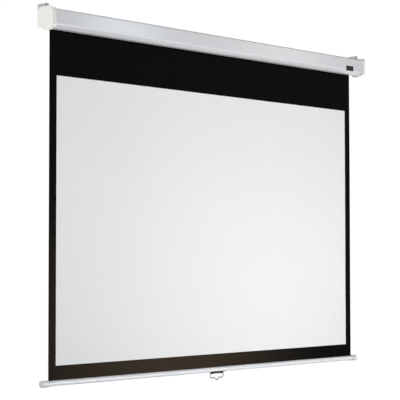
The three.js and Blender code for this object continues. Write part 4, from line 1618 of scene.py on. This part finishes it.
@dataclass
class Studio:
    """A plain pale floor, soft lamps and the photograph's viewpoint.

    Args:
        floor_height: Where the floor lies.
        floor_size: Its side.
        eye: The camera's place.
        yaw: Its heading from +Y towards +X, in degrees.
        pitch: Its tilt upwards, in degrees.
        roll: Its turn about the line of sight, in degrees.
        lens: Focal length in millimetres.
        sensor: Width of the sensor in millimetres.
        clip: How far the camera sees.
        backdrop: Strength of the sky where it is seen.
        ambient: Strength of the sky as a light.
        surround: Strength of the sky in reflections.
        horizon: Height of a ray, from 0 to 1, up to which the sky is full.
        zenith: Height of a ray from which it is dimmest.
        overhead: Share of the sky's strength there.
        floor_glow: Light of the floor where it is seen.
        floor_pale: Paint of the floor where it is seen.
        dimmed: Paint of the floor for all other rays.
        bounce: Light that the floor gives to the screen.
        bounce_colour: sRGB hex of that light.
        shine: Light of the floor in reflections.
        shaded: Depths on both sides of the screen between which the floor's light sets in.
    """

    floor_height: float = -2.05
    floor_size: float = 60.0
    eye: Triple = (-4.7893, -4.5881, -1.0375)
    yaw: float = 45.71
    pitch: float = 2.46
    roll: float = -0.06
    lens: float = 121.7
    sensor: float = 36.0
    clip: float = 200.0
    backdrop: float = 1.02
    ambient: float = 0.1
    surround: float = 1.0
    horizon: float = 0.05
    zenith: float = 0.8
    overhead: float = 0.25
    floor_glow: float = 0.97
    floor_pale: float = 0.85
    dimmed: float = 0.4
    bounce: float = 0.88
    bounce_colour: str = "F4F8FF"
    shine: float = 1.0
    shaded: Point2 = (0.35, 1.1)

    def build_camera(self) -> None:
        """Sets the camera."""
        yaw, pitch, roll = (math.radians(a) for a in (self.yaw, self.pitch, self.roll))
        forward = Vector(
            (math.sin(yaw) * math.cos(pitch), math.cos(yaw) * math.cos(pitch), math.sin(pitch))
        )
        level = Vector((math.cos(yaw), -math.sin(yaw), 0))
        above = level.cross(forward)
        right = level * math.cos(roll) + above * math.sin(roll)
        up = above * math.cos(roll) - level * math.sin(roll)
        data = bpy.data.cameras.new("camera")
        data.lens, data.sensor_width, data.sensor_fit = self.lens, self.sensor, "HORIZONTAL"
        data.clip_end = self.clip
        camera = bpy.data.objects.new("camera", data)
        turn = Matrix((right, up, -forward)).transposed()
        camera.matrix_world = Matrix.Translation(self.eye) @ turn.to_4x4()
        bpy.context.scene.collection.objects.link(camera)
        bpy.context.scene.camera = camera

    def rays(self, tree: Tree, lit: float, mirrored: float) -> tuple[Socket, Socket]:
        """Adds the nodes that tell the kinds of rays apart.

        Args:
            tree: The tree that takes them.
            lit: Strength for the rays that light the screen.
            mirrored: Strength for reflections.

        Returns:
            1 where the surface is seen, straight or through another, and the strength elsewhere.
        """
        path = add_node(tree, "ShaderNodeLightPath").node.outputs
        either = {0: path["Is Camera Ray"], 1: path["Is Transmission Ray"]}
        glossy = {"Value": path["Is Glossy Ray"], "To Min": lit, "To Max": mirrored}
        seen = add_node(tree, "ShaderNodeMath", either, operation="MAXIMUM")
        return seen, add_node(tree, "ShaderNodeMapRange", glossy)

    def build_world(self) -> None:
        """Makes the sky: white where it is seen, softer where it lights the screen."""
        world = bpy.data.worlds.new("studio")
        bpy.context.scene.world = world
        tree = cleared(world)
        seen, given = self.rays(tree, self.ambient, self.surround)
        ray = add_node(tree, "ShaderNodeTexCoord", out="Generated")
        up = add_node(tree, "ShaderNodeSeparateXYZ", {0: ray}, "Z")
        level = faded(tree, given, up, (self.horizon, self.zenith), (1.0, self.overhead))
        strength = add_node(tree, "ShaderNodeMix", {"Factor": seen, 2: level, 3: self.backdrop})
        sky = add_node(tree, "ShaderNodeBackground", {"Color": WHITE, "Strength": strength})
        add_node(tree, "ShaderNodeOutputWorld", {"Surface": sky})

    def build_floor(self) -> None:
        """Makes the pale floor, which keeps the screen's shadow."""
        half = self.floor_size / 2
        mesh = bpy.data.meshes.new("floor")
        corners = [(-half, -half), (half, -half), (half, half), (-half, half)]
        mesh.from_pydata([(x, y, self.floor_height) for x, y in corners], [], [(0, 1, 2, 3)])
        floor = object_from("floor", mesh)
        material = bpy.data.materials.new("painted_studio_floor")
        tree = cleared(material)
        seen, given = self.rays(tree, self.bounce, self.shine)
        place = add_node(tree, "ShaderNodeTexCoord", out="Object")
        depth = add_node(tree, "ShaderNodeSeparateXYZ", {0: place}, "Y")
        away = add_node(tree, "ShaderNodeMath", {0: depth}, operation="ABSOLUTE")
        level = faded(tree, given, away, self.shaded, (0.0, 1.0))
        glow = add_node(tree, "ShaderNodeMix", {"Factor": seen, 2: level, 3: self.floor_glow})
        shades = {"Value": seen, "To Min": self.dimmed, "To Max": self.floor_pale}
        pale = add_node(tree, "ShaderNodeMapRange", shades)
        hues = {"Factor": seen, 6: linear(self.bounce_colour), 7: WHITE}
        hue = add_node(tree, "ShaderNodeMix", hues, 2, data_type="RGBA")
        paint = add_node(tree, "ShaderNodeBsdfDiffuse", {"Color": pale})
        light = add_node(tree, "ShaderNodeEmission", {"Color": hue, "Strength": glow})
        both = add_node(tree, "ShaderNodeAddShader", {0: paint, 1: light})
        add_node(tree, "ShaderNodeOutputMaterial", {"Surface": both})
        mesh.materials.append(material)

    def build(self) -> None:
        """Builds the studio."""
        bpy.context.scene.view_settings.view_transform = "Standard"
        self.build_camera()
        self.build_world()
        self.build_floor()
        for softbox in SOFTBOXES:
            softbox.build()


def build_screws() -> None:
    """Makes all screws: of the hanging brackets, the roller plates and the saddle."""
    hangers = [f"hanger_screw_{label}_{end}" for label, _ in SIDES for end in ENDS]
    saddle = [f"saddle_screw_{label}" for label, _ in SIDES]
    PanHeadScrews(
        "hanger_screw_set", hangers, "case", down=(0, 0, -1),
        shank=4 * MM, head=7.6 * MM, head_height=2.6 * MM,
    ).build()
    for label, side in SIDES:
        PanHeadScrews(
            f"plate_screw_set_{label}", [f"bracket_screw_{label}_{end}" for end in ENDS], "case",
            down=(side, 0, 0), shank=3 * MM, head=6.6 * MM, head_height=2 * MM,
        ).build()
    PanHeadScrews(
        "saddle_screw_set", saddle, "weight_bar", down=(0, 0, 1),
        shank=2.6 * MM, head=5.2 * MM, head_height=1.4 * MM,
    ).build()


def main() -> None:
    """Builds every piece in order."""
    Studio().build()
    dress_frame_nodes()
    casing = Casing()
    casing.build()
    EndCaps(casing).build()
    Brackets().build()
    BlankPlate().build(casing)
    build_screws()
    roller = Roller()
    roller.build_tube()
    roller.build_turns()
    Cloth().build()
    bar = WeightBar()
    bar.build_tube()
    bar.build_caps()
    handle = PullHandle()
    handle.build_wire()
    handle.build_saddle()


if __name__ == "__main__":
    main()
